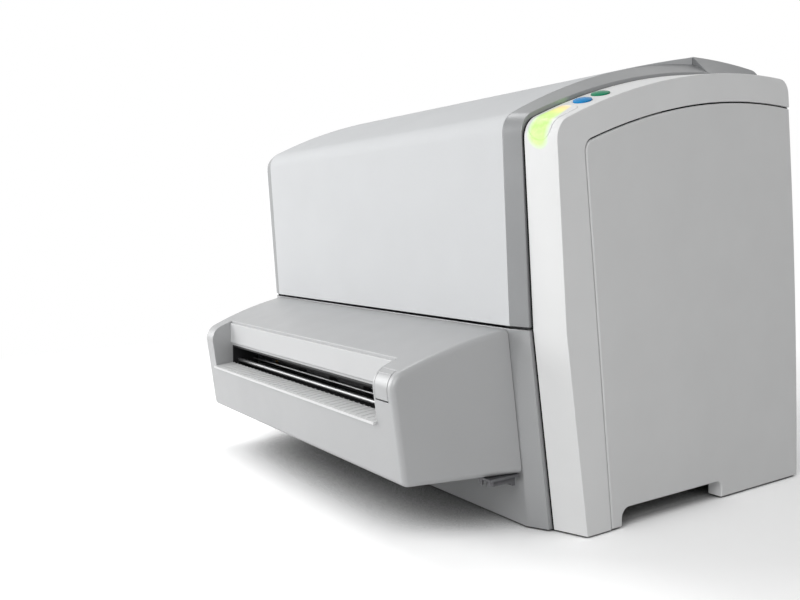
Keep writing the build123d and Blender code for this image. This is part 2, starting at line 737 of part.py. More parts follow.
def frame_plate():
    """Upright sheet inside the side housing, with lightening holes."""
    outline = body_outline(SIDE_OUTLINE, bottom=-30, depth=PLATE_INSET)
    plate = across(outline, PLATE_X, PLATE_X + PLATE_T)
    plate &= box(PLATE_X - 1, PLATE_X + PLATE_T + 1, -200, 400, FLOOR_Z, 600)
    behind = rear_plane(PLATE_X, 250, depth=-REAR_T - 0.3) * Pos(0, 0, 50) * Box(100, 900, 100)
    plate -= behind
    for row in range(4):
        for column in range(3):
            y = -30 + 90 * column + 8 * row
            plate -= rod(PLATE_X - 1, PLATE_X + PLATE_T + 1, y - 20, 230 + 68 * row, 25)
    return plate


right_plate = frame_plate()
save("right_frame_plate", right_plate)
save("left_frame_plate", mirror(right_plate, about=Plane.YZ))


def angle_member(y, z, across_y, down_z):
    """Folded steel angle between the frame plates, with its corner at y and z."""
    half = PLATE_X - 0.2
    flat = box(-half, half, min(y, y + across_y), max(y, y + across_y), z - 3, z)
    web_y = (y, y + 3) if across_y > 0 else (y - 3, y)
    return flat + box(-half, half, web_y[0], web_y[1], z - down_z, z)


members = [box(x - 2, x + 2, -95, 0, 300, 372) for x in (-212, 212)]
members += [
    angle_member(-100, 100, 25, 25),
    angle_member(110, 100, 25, 25),
    angle_member(-20, 300, 25, 25),
    angle_member(130, 300, 25, 25),
    angle_member(213, 495, 26, 25),
    angle_member(-128, 222, 25, 20),
]
save("cross_members", Compound(children=[m.solids()[0] for m in members]))


# Rear panel with vents, fan opening and the plate for the sockets

FAN_X, FAN_Z = 0.0, 410.0
INLET_X, INLET_Z = -200.0, 62.0
DATA_X, DATA_Z = 200.0, 62.0


def rear_panel():
    """Sheet with a step under its top, vent slots and the openings for fan and sockets."""
    middle_z = (REAR_LOW_Z + REAR_HIGH_Z) / 2
    length = hypot(REAR_HIGH_Z - REAR_LOW_Z, REAR_LOW_Y - REAR_HIGH_Y)
    at = rear_plane(0, middle_z, depth=-REAR_T)
    sheet = at * extrude(Rectangle(2 * (STRIP_X - 3), length), amount=REAR_T)
    sheet += at * Pos(0, -14) * extrude(Rectangle(2 * (SIDE_X - TRAY_DEPTH - 1), length - 28), amount=REAR_T)
    sheet -= rear_plane(FAN_X, FAN_Z, depth=-5) * extrude(Circle(34), amount=10)
    slots = Locations([rear_plane(sx, 250 + 9 * row, depth=-5) for sx in (-150, 0, 150) for row in range(8)])
    sheet -= slots * extrude(SlotOverall(110, 3), amount=10)
    sheet -= rear_plane(INLET_X, INLET_Z, depth=-5) * extrude(Rectangle(28, 48), amount=10)
    sheet -= rear_plane(DATA_X, DATA_Z, depth=-5) * extrude(Rectangle(17, 15), amount=10)
    return sheet


save("rear_panel", rear_panel())
screws = []
for x, z in ((300, 480), (300, 330), (315, 180), (315, 30), (110, 485), (110, 22)):
    for side in (-1, 1):
        screw = rear_plane(side * x, z) * Pos(0, 0, 1.1) * Cylinder(3.6, 2.2)
        screws.append(screw.solids()[0])
save("rear_panel_screws", Compound(children=screws))


def mains_inlet():
    """Three-pin inlet with the well of the rocker switch above it."""
    at = rear_plane(INLET_X, INLET_Z)
    flange = at * Pos(0, 0, 1.25) * Box(32, 52, 2.5)
    body = at * Pos(0, 0, -12.3) * Box(27, 47, 25)
    inlet = flange + body
    inlet -= at * Pos(0, -10, -6) * Box(22, 16, 20)
    inlet -= at * Pos(0, 13, -4) * Box(20.6, 14.0, 14)
    for x, y in ((-6, -8), (6, -8), (0, -13)):
        inlet += at * Pos(x, y, -12) * Box(1.6, 3.5, 10)
    return inlet - at * Pos(0, 13, -4) * Rotation(0, 90, 0) * Cylinder(1.6, 24)


def rocker_switch():
    """Rocker with its two faces a few degrees apart, on a cross pin."""
    at = rear_plane(INLET_X, INLET_Z)
    top = [(-5.5, 3.9), (0, 2.2), (6.2, 2.2)]
    bottom = [(5.0, -4), (0, -6), (-5.0, -4)]
    rocker = across(make_face(Polyline(*top, *bottom, close=True)), -9.8, 9.8)
    pin = Rotation(0, 90, 0) * Cylinder(1.5, 23)
    return at * Pos(0, 13, -4) * (Pos(0, 0, 2) * rocker + pin)


save("mains_inlet", mains_inlet())
save("power_switch", rocker_switch())


def data_socket():
    """Network socket: a metal can with a rectangular well."""
    at = rear_plane(DATA_X, DATA_Z)
    socket = at * Pos(0, 0, -8.5) * Box(16, 14, 17) + at * Pos(0, 0, 0.5) * Box(20, 18, 1)
    return socket - at * Pos(0, 0, -4) * Box(12, 8, 14)


save("data_socket", data_socket())


def fan_housing():
    """Square frame round the blades, with the hub on three spokes."""
    at = rear_plane(FAN_X, FAN_Z, depth=-REAR_T)
    body = at * Pos(0, 0, -12.5) * Box(80, 80, 25) - at * Pos(0, 0, -12.5) * Cylinder(35, 30)
    hub = at * Pos(0, 0, -22.5) * Cylinder(12, 5)
    for turn in range(3):
        hub += at * Pos(0, 0, -23.5) * Rotation(0, 0, 90 + 120 * turn) * Pos(23, 0, 0) * Box(26, 5, 3)
    return body + hub - at * Pos(0, 0, -22.5) * Cylinder(2.05, 10)


def fan_rotor():
    """Hub with seven pitched blades and a spindle in the housing's hub."""
    at = rear_plane(FAN_X, FAN_Z, depth=-REAR_T)
    rotor = Pos(0, 0, -11) * Cylinder(14, 16) + Pos(0, 0, -20) * Cylinder(2, 9)
    for turn in range(7):
        blade = Pos(22.5, 0, -11) * Rotation(38, 0, 0) * Box(21, 17, 1.6)
        rotor += Rotation(0, 0, 360 / 7 * turn) * blade
    return at * rotor


def fan_guard():
    """Three rings on four spokes that end in screw eyes."""
    guard = Part()
    for radius in (12, 21, 30):
        guard += Pos(0, 0, 1.2) * (Cylinder(radius + 1, 2.4) - Cylinder(radius - 1, 3))
    for turn in range(4):
        spoke = Pos(29, 0, 3) * Box(36, 2, 2) + Pos(46.8, 0, 2) * Cylinder(4, 4)
        guard += Rotation(0, 0, 45 + 90 * turn) * spoke
    return rear_plane(FAN_X, FAN_Z) * guard


save("fan_housing", fan_housing())
save("fan_rotor", fan_rotor())
save("fan_guard", fan_guard())


# Roller drive between two long side rails

FEED_PINCH_Z = FEED_Z + DRIVE_R + CASSETTE_T + PINCH_R
PINCH_Z = ROLLER_Z + DRIVE_R + NIP_GAP + PINCH_R
ROLLERS = {
    "feed_roller": (FEED_Y, FEED_Z, DRIVE_R, True),
    "feed_pinch_roller": (FEED_Y, FEED_PINCH_Z, PINCH_R, False),
    "front_transport_roller": (FRONT_ROLLER_Y, ROLLER_Z, DRIVE_R, True),
    "front_pinch_roller": (FRONT_ROLLER_Y, PINCH_Z, PINCH_R, False),
    "rear_transport_roller": (REAR_ROLLER_Y, ROLLER_Z, DRIVE_R, True),
    "rear_pinch_roller": (REAR_ROLLER_Y, PINCH_Z, PINCH_R, False),
}
BUSH_R = 6.5


def pulley(y, z, radius):
    """Flanged belt pulley."""
    body = rod(PULLEY_X, PULLEY_X + PULLEY_W, y, z, radius)
    for x in (PULLEY_X - 0.9, PULLEY_X + PULLEY_W):
        body += rod(x, x + 0.9, y, z, radius + 2)
    return body


def roller(y, z, radius, driven):
    """Shaft with five rubber-covered bands, and a pulley on its end where the belt drives it."""
    shaft_end = PULLEY_X + PULLEY_W + 1 if driven else RAIL_X + RAIL_T + 1.5
    shaft = rod(-RAIL_X - RAIL_T - 1.5, shaft_end, y, z, SHAFT_R)
    for x in (-184, -92, 0, 92, 184):
        shaft += rod(x - 34, x + 34, y, z, radius)
    if driven:
        shaft += pulley(y, z, PULLEY_R)
    return shaft


for name, (y, z, radius, driven) in ROLLERS.items():
    save(name, roller(y, z, radius, driven))


motor_shaft = rod(218, PULLEY_X + PULLEY_W + 0.9, MOTOR_Y, MOTOR_Z, 2.5)
save("motor_pulley", pulley(MOTOR_Y, MOTOR_Z, MOTOR_PULLEY_R) + motor_shaft)


def belt_loop(extra):
    """Outline stretched round the four pulleys."""
    circles = Sketch() + Pos(MOTOR_Y, MOTOR_Z) * Circle(MOTOR_PULLEY_R + extra)
    for y, z in ((FEED_Y, FEED_Z), (FRONT_ROLLER_Y, ROLLER_Z), (REAR_ROLLER_Y, ROLLER_Z)):
        circles += Pos(y, z) * Circle(PULLEY_R + extra)
    return make_hull(circles.edges())


belt = across(belt_loop(0.3 + BELT_T) - belt_loop(0.3), PULLEY_X + 0.5, PULLEY_X + PULLEY_W - 0.5)
save("drive_belt", belt)


def side_rail():
    """Long upright rail that carries the rollers' bushes, with a tab for the motor."""
    rail_body = box(RAIL_X, RAIL_X + RAIL_T, -232, 140, 100, 185)
    for y, z, _, _ in ROLLERS.values():
        rail_body -= rod(RAIL_X - 1, RAIL_X + RAIL_T + 1, y, z, BUSH_R)
    for y in (-160, -85, 60, 100):
        rail_body -= rod(RAIL_X - 1, RAIL_X + RAIL_T + 1, y, 143, 13)
    return rail_body - rod(RAIL_X - 1, RAIL_X + RAIL_T + 1, THROAT_REAR_Y + 4, 166, 1.6)


right_rail = side_rail() - rod(RAIL_X - 1, RAIL_X + RAIL_T + 1, MOTOR_Y, MOTOR_Z, 9)
save("transport_side_rails", right_rail + mirror(side_rail(), about=Plane.YZ))


def bush(y, z):
    """Plain bearing in the right rail."""
    body = rod(RAIL_X - 1, RAIL_X + RAIL_T, y, z, BUSH_R)
    return body - rod(RAIL_X - 2, RAIL_X + RAIL_T + 1, y, z, SHAFT_R + SHAFT_FIT)


bushes = [bush(y, z) for y, z, _, _ in ROLLERS.values()]
bushes += [mirror(b, about=Plane.YZ) for b in bushes]
save("roller_bushes", Compound(children=[b.solids()[0] for b in bushes]))


def drive_motor():
    """Square motor body against the right rail, with a spigot and a bore for its shaft."""
    body = box(RAIL_X - 42, RAIL_X, MOTOR_Y - 21, MOTOR_Y + 21, MOTOR_Z - 21, MOTOR_Z + 21)
    body = chamfer(body.edges().filter_by(Axis.X), 4)
    body += rod(RAIL_X, RAIL_X + 2, MOTOR_Y, MOTOR_Z, 8.8)
    return body - rod(RAIL_X - 26, RAIL_X + 3, MOTOR_Y, MOTOR_Z, 2.5 + SHAFT_FIT)


save("drive_motor", drive_motor())


def plate_bed():
    """Flat table under the image plate, with a window for the rear rollers."""
    bed = box(-RAIL_X, RAIL_X, -102, 262, 141, 144)
    bed -= box(-226, 226, REAR_ROLLER_Y - 15, REAR_ROLLER_Y + 15, 130, 150)
    bed += both_sides(box(RAIL_X - 3, RAIL_X, 142, 262, 125, 150))
    bed += box(-6, 6, 110, 113, 100, 142)
    return bed - both_sides(rod(238, 245, REAR_ROLLER_Y, ROLLER_Z, BUSH_R + 0.5))


save("plate_bed", plate_bed())


# Optics above the bed: scan unit, fold mirror, light collector and photomultiplier

SCAN_Y = -75.0


def scan_housing():
    """Closed casting on the two upper members, with a long beam window in its front wall."""
    outer = box(-110, 110, -40, 170, 300, 385)
    outer = chamfer(outer.edges().filter_by(Axis.Z), 8)
    inner = box(-105, 105, -35, 165, 305, 386)
    return outer - inner - box(-95, 95, -45, -30, 335, 355)


save("scan_unit_housing", scan_housing())
cover = box(-110, 110, -40, 170, 385, 388) + box(-104.5, 104.5, -34.5, 164.5, 381, 385)
save("scan_unit_cover", cover - box(-100, 100, -30, 160, 380, 385))
lens_face = Pos(0, 20) * Rectangle(140, 16)
lens_bar = Pos(0, 0, 328) * extrude(lens_face, amount=34)
save("scan_lens", lens_bar - Pos(0, 190, 345) * Cylinder(172, 60) + box(-70, 70, 12, 16, 305, 329))
save("scan_mirror_motor", Pos(0, 120, 320) * Cylinder(14, 30) - Pos(0, 120, 330) * Cylinder(2.05, 30))
save("scan_mirror", Pos(0, 120, 346) * Box(22, 3, 16) + Pos(0, 120, 331) * Cylinder(2, 16))
mirror_strip = Pos(0, SCAN_Y, 345) * Rotation(45, 0, 0) * Box(420, 28, 5)
save("fold_mirror", mirror_strip)


def light_collector():
    """Clear guide that gathers along the scan line and narrows towards the photomultiplier."""
    low = Plane(origin=(0, SCAN_Y + 12, 152), x_dir=(1, 0, 0), z_dir=(0, 0, 1)) * Rectangle(440, 8)
    high = Plane(origin=(0, SCAN_Y + 66, 236), x_dir=(1, 0, 0), z_dir=(0, 0, 1)) * Rectangle(110, 24)
    return loft([low, high], ruled=True)


save("light_collector", light_collector())
pmt = box(-70, 70, -34, 16, 236, 262) + box(-70, 70, -29, 11, 262, 272)
pmt += both_sides(box(58, 66, -14, -4, 262, 297))
save("photomultiplier", pmt + box(-9, 9, 16, 46, 240, 260) + box(-9, 9, 20, 46, 240, 277))


# Erase unit: reflector channel with three lamps, carried on the rails


def erase_housing():
    """Channel open below, with a lug on each rail."""
    channel = box(-238, 238, 52, 128, 158, 202) - box(-236, 236, 54, 126, 150, 200)
    lugs = both_sides(box(236, 250, 60, 120, 185, 188))
    return channel + lugs


save("erase_unit_housing", erase_housing())
save("erase_lamps", Compound(children=[rod(-236, 236, y, 178, 8).solids()[0] for y in (68, 90, 112)]))


# Electrics on the base tray


def power_supply():
    """Closed box with vent slots in its front."""
    supply = box(70, 270, 140, 262, FLOOR_Z + 3, 92)
    for row in range(9):
        supply -= box(90 + 18 * row, 96 + 18 * row, 139, 142, 30, 74)
    return supply


save("power_supply", power_supply())


def control_board():
    """Board with its larger parts: two chips, a heat sink, a connector and five capacitors."""
    board = box(-270, -40, 30, 240, 22, 23.6)
    board += box(-240, -205, 60, 95, 23.6, 27) + box(-180, -150, 60, 90, 23.6, 26)
    board += box(-120, -70, 60, 100, 23.6, 44) + box(-250, -170, 215, 238, 23.6, 36)
    for row in range(5):
        board += Pos(-130 + 20 * row, 180, 31) * Cylinder(6, 15)
    return board


save("control_board", control_board())
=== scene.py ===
import math

import bmesh
import bpy
from mathutils import Matrix, Vector


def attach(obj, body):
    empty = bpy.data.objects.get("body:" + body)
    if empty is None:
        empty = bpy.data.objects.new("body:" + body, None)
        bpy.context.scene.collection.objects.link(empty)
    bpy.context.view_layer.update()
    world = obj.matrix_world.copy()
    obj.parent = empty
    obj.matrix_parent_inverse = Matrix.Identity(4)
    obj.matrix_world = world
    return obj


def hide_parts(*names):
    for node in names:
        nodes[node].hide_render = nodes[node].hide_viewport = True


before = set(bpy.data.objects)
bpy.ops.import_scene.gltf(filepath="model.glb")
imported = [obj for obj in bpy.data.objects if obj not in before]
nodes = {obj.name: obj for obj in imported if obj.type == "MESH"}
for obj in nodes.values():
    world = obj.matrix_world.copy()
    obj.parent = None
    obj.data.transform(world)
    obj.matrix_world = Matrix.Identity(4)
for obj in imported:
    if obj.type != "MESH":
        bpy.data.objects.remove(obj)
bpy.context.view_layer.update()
scene = bpy.context.scene

# Camera, as solved from the photograph

EYE = Vector((0.9488, -0.7651, 0.3330))
LOOK_AZIMUTH = math.radians(55.7)
LOOK_DOWN = math.radians(4.7)
LENS_MM = 36.86


def look_direction():
    level = math.cos(LOOK_DOWN)
    return Vector((-math.sin(LOOK_AZIMUTH) * level, math.cos(LOOK_AZIMUTH) * level, -math.sin(LOOK_DOWN)))


def photo_camera():
    data = bpy.data.cameras.new("photo_camera")
    data.lens = LENS_MM
    data.sensor_width = 36.0
    data.clip_start = 0.01
    data.clip_end = 100.0
    camera = bpy.data.objects.new("photo_camera", data)
    scene.collection.objects.link(camera)
    camera.location = EYE
    camera.rotation_euler = look_direction().to_track_quat("-Z", "Y").to_euler()
    scene.camera = camera


photo_camera()
scene.view_settings.view_transform = "Standard"


# Finishes: colours are linear, and sizes in a name that ends in MM are millimetres

HOOD_COLOUR = (0.60, 0.61, 0.62)
TRIM_COLOUR = (0.28, 0.285, 0.29)
# Painted light: the cover has the trims' paint made about 1.3 times lighter, standing for the floor's light
# that reaches the lower front
COVER_COLOUR_PAINTED_LIGHT = (0.36, 0.365, 0.37)
VISOR_COLOUR = (0.56, 0.565, 0.57)
SHELF_COLOUR = (0.68, 0.685, 0.685)
UNIT_COLOUR = (0.43, 0.435, 0.44)
HOUSING_COLOUR = (0.82, 0.825, 0.825)
PANEL_COLOUR = (0.76, 0.765, 0.765)
BLACK = (0.012, 0.012, 0.013)

FLAKE_SHARE = 0.10
PAINT_GRAIN_MM = 1.3
GRINDING = (1.0, 0.15, 0.15)

# Rubber bands of the rollers
BAND_SPACING = 0.092
BAND_HALF_WIDTH = 0.0342
BAND_LAST_END = 0.2185

# Ends of the lit window's colours and of its patch of light, along the diagonal that rises to the rear
HALF_ROOT = 0.7071
WINDOW_RUN = (0.184, 0.246)
PATCH_RUN = (0.1862, 0.2415)
GLOW_STRENGTH = 0.34


class Finish:
    """A procedural material: one Principled shader, with patterns on the object's own coordinates."""

    def __init__(self, name, colour, roughness, metallic=0.0, coat=0.0, ior=1.5):
        self.material = bpy.data.materials.new(name)
        self.material.use_nodes = True
        self.tree = self.material.node_tree
        self.shader = self.tree.nodes["Principled BSDF"]
        self.set("Base Color", (*colour, 1.0))
        self.set("Roughness", roughness)
        self.set("Metallic", metallic)
        self.set("Coat Weight", coat)
        self.set("Coat Roughness", 0.08)
        self.set("IOR", ior)
        self.place = self.add("ShaderNodeTexCoord").outputs["Object"]
        self.heights = []
        self.material.diffuse_color = (*colour, 1.0)

    def set(self, socket, value):
        self.shader.inputs[socket].default_value = value

    def add(self, kind, **settings):
        node = self.tree.nodes.new(kind)
        for key, value in settings.items():
            setattr(node, key, value)
        return node

    def join(self, source, target):
        self.tree.links.new(source, target)

    def stretched(self, scale):
        """Object coordinates, scaled per axis."""
        mapping = self.add("ShaderNodeMapping")
        mapping.inputs["Scale"].default_value = scale
        self.join(self.place, mapping.inputs["Vector"])
        return mapping.outputs["Vector"]

    def noise(self, size_mm, detail=2.0, along=None):
        """Cloudy pattern whose lumps are about the given size."""
        node = self.add("ShaderNodeTexNoise")
        node.inputs["Scale"].default_value = 1000.0 / size_mm
        node.inputs["Detail"].default_value = detail
        self.join(self.place if along is None else self.stretched(along), node.inputs["Vector"])
        return node.outputs["Fac"]

    def cells(self, size_mm, output="Distance"):
        """Pattern of small cells of about the given size."""
        node = self.add("ShaderNodeTexVoronoi")
        node.inputs["Scale"].default_value = 1000.0 / size_mm
        self.join(self.place, node.inputs["Vector"])
        return node.outputs[output]

    def axes(self):
        """Object coordinates as three separate values."""
        parts = self.add("ShaderNodeSeparateXYZ")
        self.join(self.place, parts.inputs["Vector"])
        return parts.outputs

    def ramp(self, source, *stops):
        """Colour ramp through (position, colour) stops."""
        node = self.add("ShaderNodeValToRGB")
        elements = node.color_ramp.elements
        while len(elements) < len(stops):
            elements.new(0.5)
        for element, (position, colour) in zip(elements, stops):
            element.position = position
            element.color = (*colour, 1.0)
        self.join(source, node.inputs["Fac"])
        return node.outputs["Color"]

    def spread(self, source, low, high, start=0.3, end=0.7):
        """Maps a pattern onto a range of plain values."""
        node = self.add("ShaderNodeMapRange")
        node.inputs["From Min"].default_value = start
        node.inputs["From Max"].default_value = end
        node.inputs["To Min"].default_value = low
        node.inputs["To Max"].default_value = high
        self.join(source, node.inputs["Value"])
        return node.outputs["Result"]

    def maths(self, operation, first, second=None):
        node = self.add("ShaderNodeMath", operation=operation)
        for socket, value in zip(node.inputs, (first, second)):
            if isinstance(value, (int, float)):
                socket.default_value = value
            elif value is not None:
                self.join(value, socket)
        return node.outputs["Value"]

    def mix(self, share, first, second):
        """Colour mix by a pattern; plain colours may stand for either side."""
        node = self.add("ShaderNodeMix", data_type="RGBA")
        sockets = (node.inputs[0], node.inputs[6], node.inputs[7])
        for socket, value in zip(sockets, (share, first, second)):
            if isinstance(value, tuple):
                socket.default_value = (*value, 1.0)
            elif isinstance(value, float):
                socket.default_value = value
            else:
                self.join(value, socket)
        return node.outputs[2]

    def blend(self, pattern, first, second):
        """Colour mix by the middle range of a pattern."""
        return self.mix(self.spread(pattern, 0.0, 1.0), first, second)

    def tint(self, source):
        self.join(source, self.shader.inputs["Base Color"])

    def shine(self, source):
        self.join(source, self.shader.inputs["Roughness"])

    def lit(self, level, colour):
        """Light of its own, at the given level of the colour."""
        self.join(self.mix(level, (0.0, 0.0, 0.0), colour), self.shader.inputs["Emission Color"])
        self.set("Emission Strength", GLOW_STRENGTH)

    def relief(self, source, height_mm, strength):
        """Adds a height pattern to the surface."""
        node = self.add("ShaderNodeBump")
        node.inputs["Distance"].default_value = height_mm / 1000.0
        node.inputs["Strength"].default_value = strength
        self.join(source, node.inputs["Height"])
        if self.heights:
            self.join(self.heights[-1].outputs["Normal"], node.inputs["Normal"])
        self.heights.append(node)
        self.join(node.outputs["Normal"], self.shader.inputs["Normal"])

    def worn_edges(self, colour_source, worn, share):
        """Lightens the edges, where hands and cloths rub."""
        geometry = self.add("ShaderNodeNewGeometry")
        edge = self.spread(geometry.outputs["Pointiness"], 0.0, share, start=0.52, end=0.60)
        return self.mix(edge, colour_source, worn)


def shade(colour, factor):
    """The colour made lighter or darker, at most white."""
    return tuple(min(1.0, c * factor) for c in colour)


def sprayed_paint(name, colour, roughness, metallic=0.0, ior=1.35):
    """Silver or white paint sprayed on a fine-textured moulding."""
    finish = Finish(name, colour, roughness, metallic=metallic, ior=ior)
    cloud = finish.noise(90.0, detail=2.0)
    speck = finish.noise(0.9, detail=1.0)
    slow = finish.blend(cloud, shade(colour, 0.985), shade(colour, 1.012))
    fine = finish.mix(finish.spread(speck, 0.0, FLAKE_SHARE), slow, shade(colour, 1.25))
    finish.tint(finish.worn_edges(fine, shade(colour, 1.08), 0.15))
    finish.shine(finish.spread(finish.noise(35.0, detail=3.0), roughness - 0.04, roughness + 0.05))
    finish.relief(finish.noise(45.0, detail=1.0), 0.12, 0.3)
    finish.relief(finish.cells(PAINT_GRAIN_MM), 0.05, 0.35)
    return finish.material


def textured_moulding(name, colour, roughness=0.5, grain_mm=1.1, depth=0.06, painted_glow=False):
    """Through-coloured moulding with a spark-eroded grain, which can carry a painted patch of the window's
    light round the lens, glowing though the moulding is no lamp.
    """
    finish = Finish(name, colour, roughness, ior=1.4)
    cloud = finish.noise(70.0, detail=3.0)
    slow = finish.blend(cloud, shade(colour, 0.985), shade(colour, 1.012))
    tone = finish.worn_edges(slow, shade(colour, 1.15), 0.3)
    if painted_glow:
        # Painted light: the window's glow spilling onto the moulding, painted into its colour and given off
        # as light of its own
        glow, level = lit_patch(finish)
        tone = finish.mix(level, tone, glow)
        finish.lit(level, glow)
    finish.tint(tone)
    finish.shine(finish.spread(finish.noise(22.0, detail=3.0), roughness - 0.05, roughness + 0.06))
    finish.relief(finish.noise(60.0, detail=1.0), 0.12, 0.25)
    finish.relief(finish.cells(grain_mm), depth, 0.5)
    return finish.material


def zinc_sheet(name):
    """Zinc-plated sheet with its faint crystals and rolling lines."""
    finish = Finish(name, (0.50, 0.51, 0.53), 0.38, metallic=0.9)
    crystals = finish.cells(8.0, output="Color")
    grey = finish.add("ShaderNodeRGBToBW")
    finish.join(crystals, grey.inputs["Color"])
    rolled = finish.noise(2.2, detail=3.0, along=(0.06, 1.0, 1.0))
    shares = finish.spread(grey.outputs["Val"], 0.0, 1.0, 0.2, 0.8)
    base = finish.mix(shares, (0.485, 0.495, 0.515), (0.535, 0.545, 0.565))
    finish.tint(finish.mix(finish.spread(rolled, 0.0, 0.35), base, (0.40, 0.41, 0.43)))
    finish.shine(finish.spread(grey.outputs["Val"], 0.34, 0.42, 0.1, 0.9))
    finish.relief(rolled, 0.02, 0.4)
    return finish.material


def turned_steel(name, tone, roughness):
    """Ground round bar, with grinding lines round it."""
    colour = (tone, tone * 1.01, tone * 1.02)
    finish = Finish(name, colour, roughness, metallic=1.0)
    lines = finish.noise(0.9, along=GRINDING)
    finish.tint(finish.blend(lines, shade(colour, 0.85), shade(colour, 1.12)))
    finish.shine(finish.spread(lines, roughness - 0.05, roughness + 0.08))
    finish.relief(lines, 0.01, 0.3)
    return finish.material


def dark_steel_painted_shade(name):
    """Dark sheet steel, made dark as painted shade for the latch in the shadow under the input unit, rubbed
    lighter along its edges.
    """
    finish = Finish(name, (0.06, 0.06, 0.063), 0.45, metallic=0.6)
    patches = finish.noise(7.0, detail=3.0)
    base = finish.blend(patches, (0.045, 0.045, 0.048), (0.085, 0.085, 0.09))
    finish.tint(finish.worn_edges(base, (0.2, 0.2, 0.21), 0.5))
    finish.shine(finish.spread(patches, 0.38, 0.55))
    return finish.material


def cast_alloy(name):
    """Sand-cast aluminium alloy, left rough."""
    finish = Finish(name, (0.36, 0.37, 0.38), 0.55, metallic=0.6)
    sand = finish.noise(1.6, detail=4.0)
    finish.tint(finish.blend(sand, (0.31, 0.32, 0.33), (0.41, 0.42, 0.43)))
    finish.shine(finish.spread(sand, 0.48, 0.64))
    finish.relief(sand, 0.25, 0.5)
    return finish.material


def rubber(name, colour, roughness, ior=1.5):
    """Moulded rubber with a faint grey bloom."""
    finish = Finish(name, colour, roughness, ior=ior)
    bloom = finish.noise(12.0, detail=4.0)
    finish.tint(finish.blend(bloom, colour, shade(colour, 2.0)))
    finish.shine(finish.spread(bloom, roughness - 0.08, roughness + 0.1))
    finish.relief(finish.noise(0.8, detail=3.0), 0.05, 0.6)
    return finish.material


def banded_roller(name):
    """Rubber bands along a steel shaft, told apart by their place across the width."""
    finish = Finish(name, (0.045, 0.045, 0.05), 0.7)
    sideways = finish.maths("ABSOLUTE", finish.axes()["X"])
    from_band = finish.maths("PINGPONG", sideways, BAND_SPACING / 2)
    on_band = finish.maths("LESS_THAN", from_band, BAND_HALF_WIDTH)
    band = finish.maths("MULTIPLY", on_band, finish.maths("LESS_THAN", sideways, BAND_LAST_END))
    bloom = finish.noise(9.0, detail=4.0)
    grip = finish.blend(bloom, (0.040, 0.040, 0.044), (0.075, 0.075, 0.080))
    lines = finish.noise(0.9, along=GRINDING)
    shaft = finish.blend(lines, (0.50, 0.51, 0.52), (0.70, 0.71, 0.72))
    finish.tint(finish.mix(band, shaft, grip))
    finish.shine(finish.maths("ADD", finish.maths("MULTIPLY", band, 0.42), 0.26))
    finish.join(finish.maths("SUBTRACT", 1.0, band), finish.shader.inputs["Metallic"])
    finish.relief(finish.noise(0.7, detail=3.0), 0.04, 0.5)
    return finish.material


def bronze(name):
    """Sintered bronze or brass with fine pores."""
    finish = Finish(name, (0.55, 0.38, 0.17), 0.42, metallic=1.0)
    pores = finish.noise(0.6, detail=3.0)
    finish.tint(finish.blend(pores, (0.42, 0.28, 0.12), (0.66, 0.47, 0.22)))
    finish.relief(pores, 0.05, 0.6)
    return finish.material


def clear_glass(name, colour, roughness=0.03, frost=0.0):
    """Clear or frosted glass or acrylic with a faint smear."""
    finish = Finish(name, colour, roughness)
    finish.set("Transmission Weight", 1.0 - frost)
    smear = finish.noise(18.0, detail=3.0)
    finish.tint(finish.blend(smear, colour, shade(colour, 0.93)))
    finish.shine(finish.spread(smear, roughness, roughness + 0.06))
    return finish.material


def coated_mirror(name):
    """Mirror coating with a little haze."""
    finish = Finish(name, (0.9, 0.9, 0.92), 0.04, metallic=1.0)
    haze = finish.noise(9.0, detail=3.0)
    finish.tint(finish.blend(haze, (0.88, 0.88, 0.91), (0.93, 0.93, 0.94)))
    finish.shine(finish.spread(haze, 0.02, 0.07))
    return finish.material


def circuit_board(name):
    """Green lacquered board with paler copper runs in a brick pattern."""
    finish = Finish(name, (0.02, 0.16, 0.07), 0.3, coat=0.3)
    bricks = finish.add("ShaderNodeTexBrick")
    bricks.inputs["Scale"].default_value = 55.0
    bricks.inputs["Mortar Size"].default_value = 0.012
    bricks.inputs["Color1"].default_value = (0.015, 0.15, 0.06, 1.0)
    bricks.inputs["Color2"].default_value = (0.025, 0.19, 0.085, 1.0)
    bricks.inputs["Mortar"].default_value = (0.05, 0.30, 0.13, 1.0)
    finish.join(finish.place, bricks.inputs["Vector"])
    finish.tint(bricks.outputs["Color"])
    finish.relief(bricks.outputs["Fac"], 0.05, 0.5)
    return finish.material


def glossy_key(name, colour):
    """Polished coloured key with fine rubbing marks."""
    finish = Finish(name, colour, 0.2, ior=1.18)
    swirl = finish.noise(6.0, detail=4.0)
    finish.tint(finish.blend(swirl, shade(colour, 0.9), shade(colour, 1.1)))
    finish.shine(finish.spread(swirl, 0.14, 0.26))
    finish.relief(finish.noise(0.7, detail=2.0), 0.01, 0.4)
    return finish.material


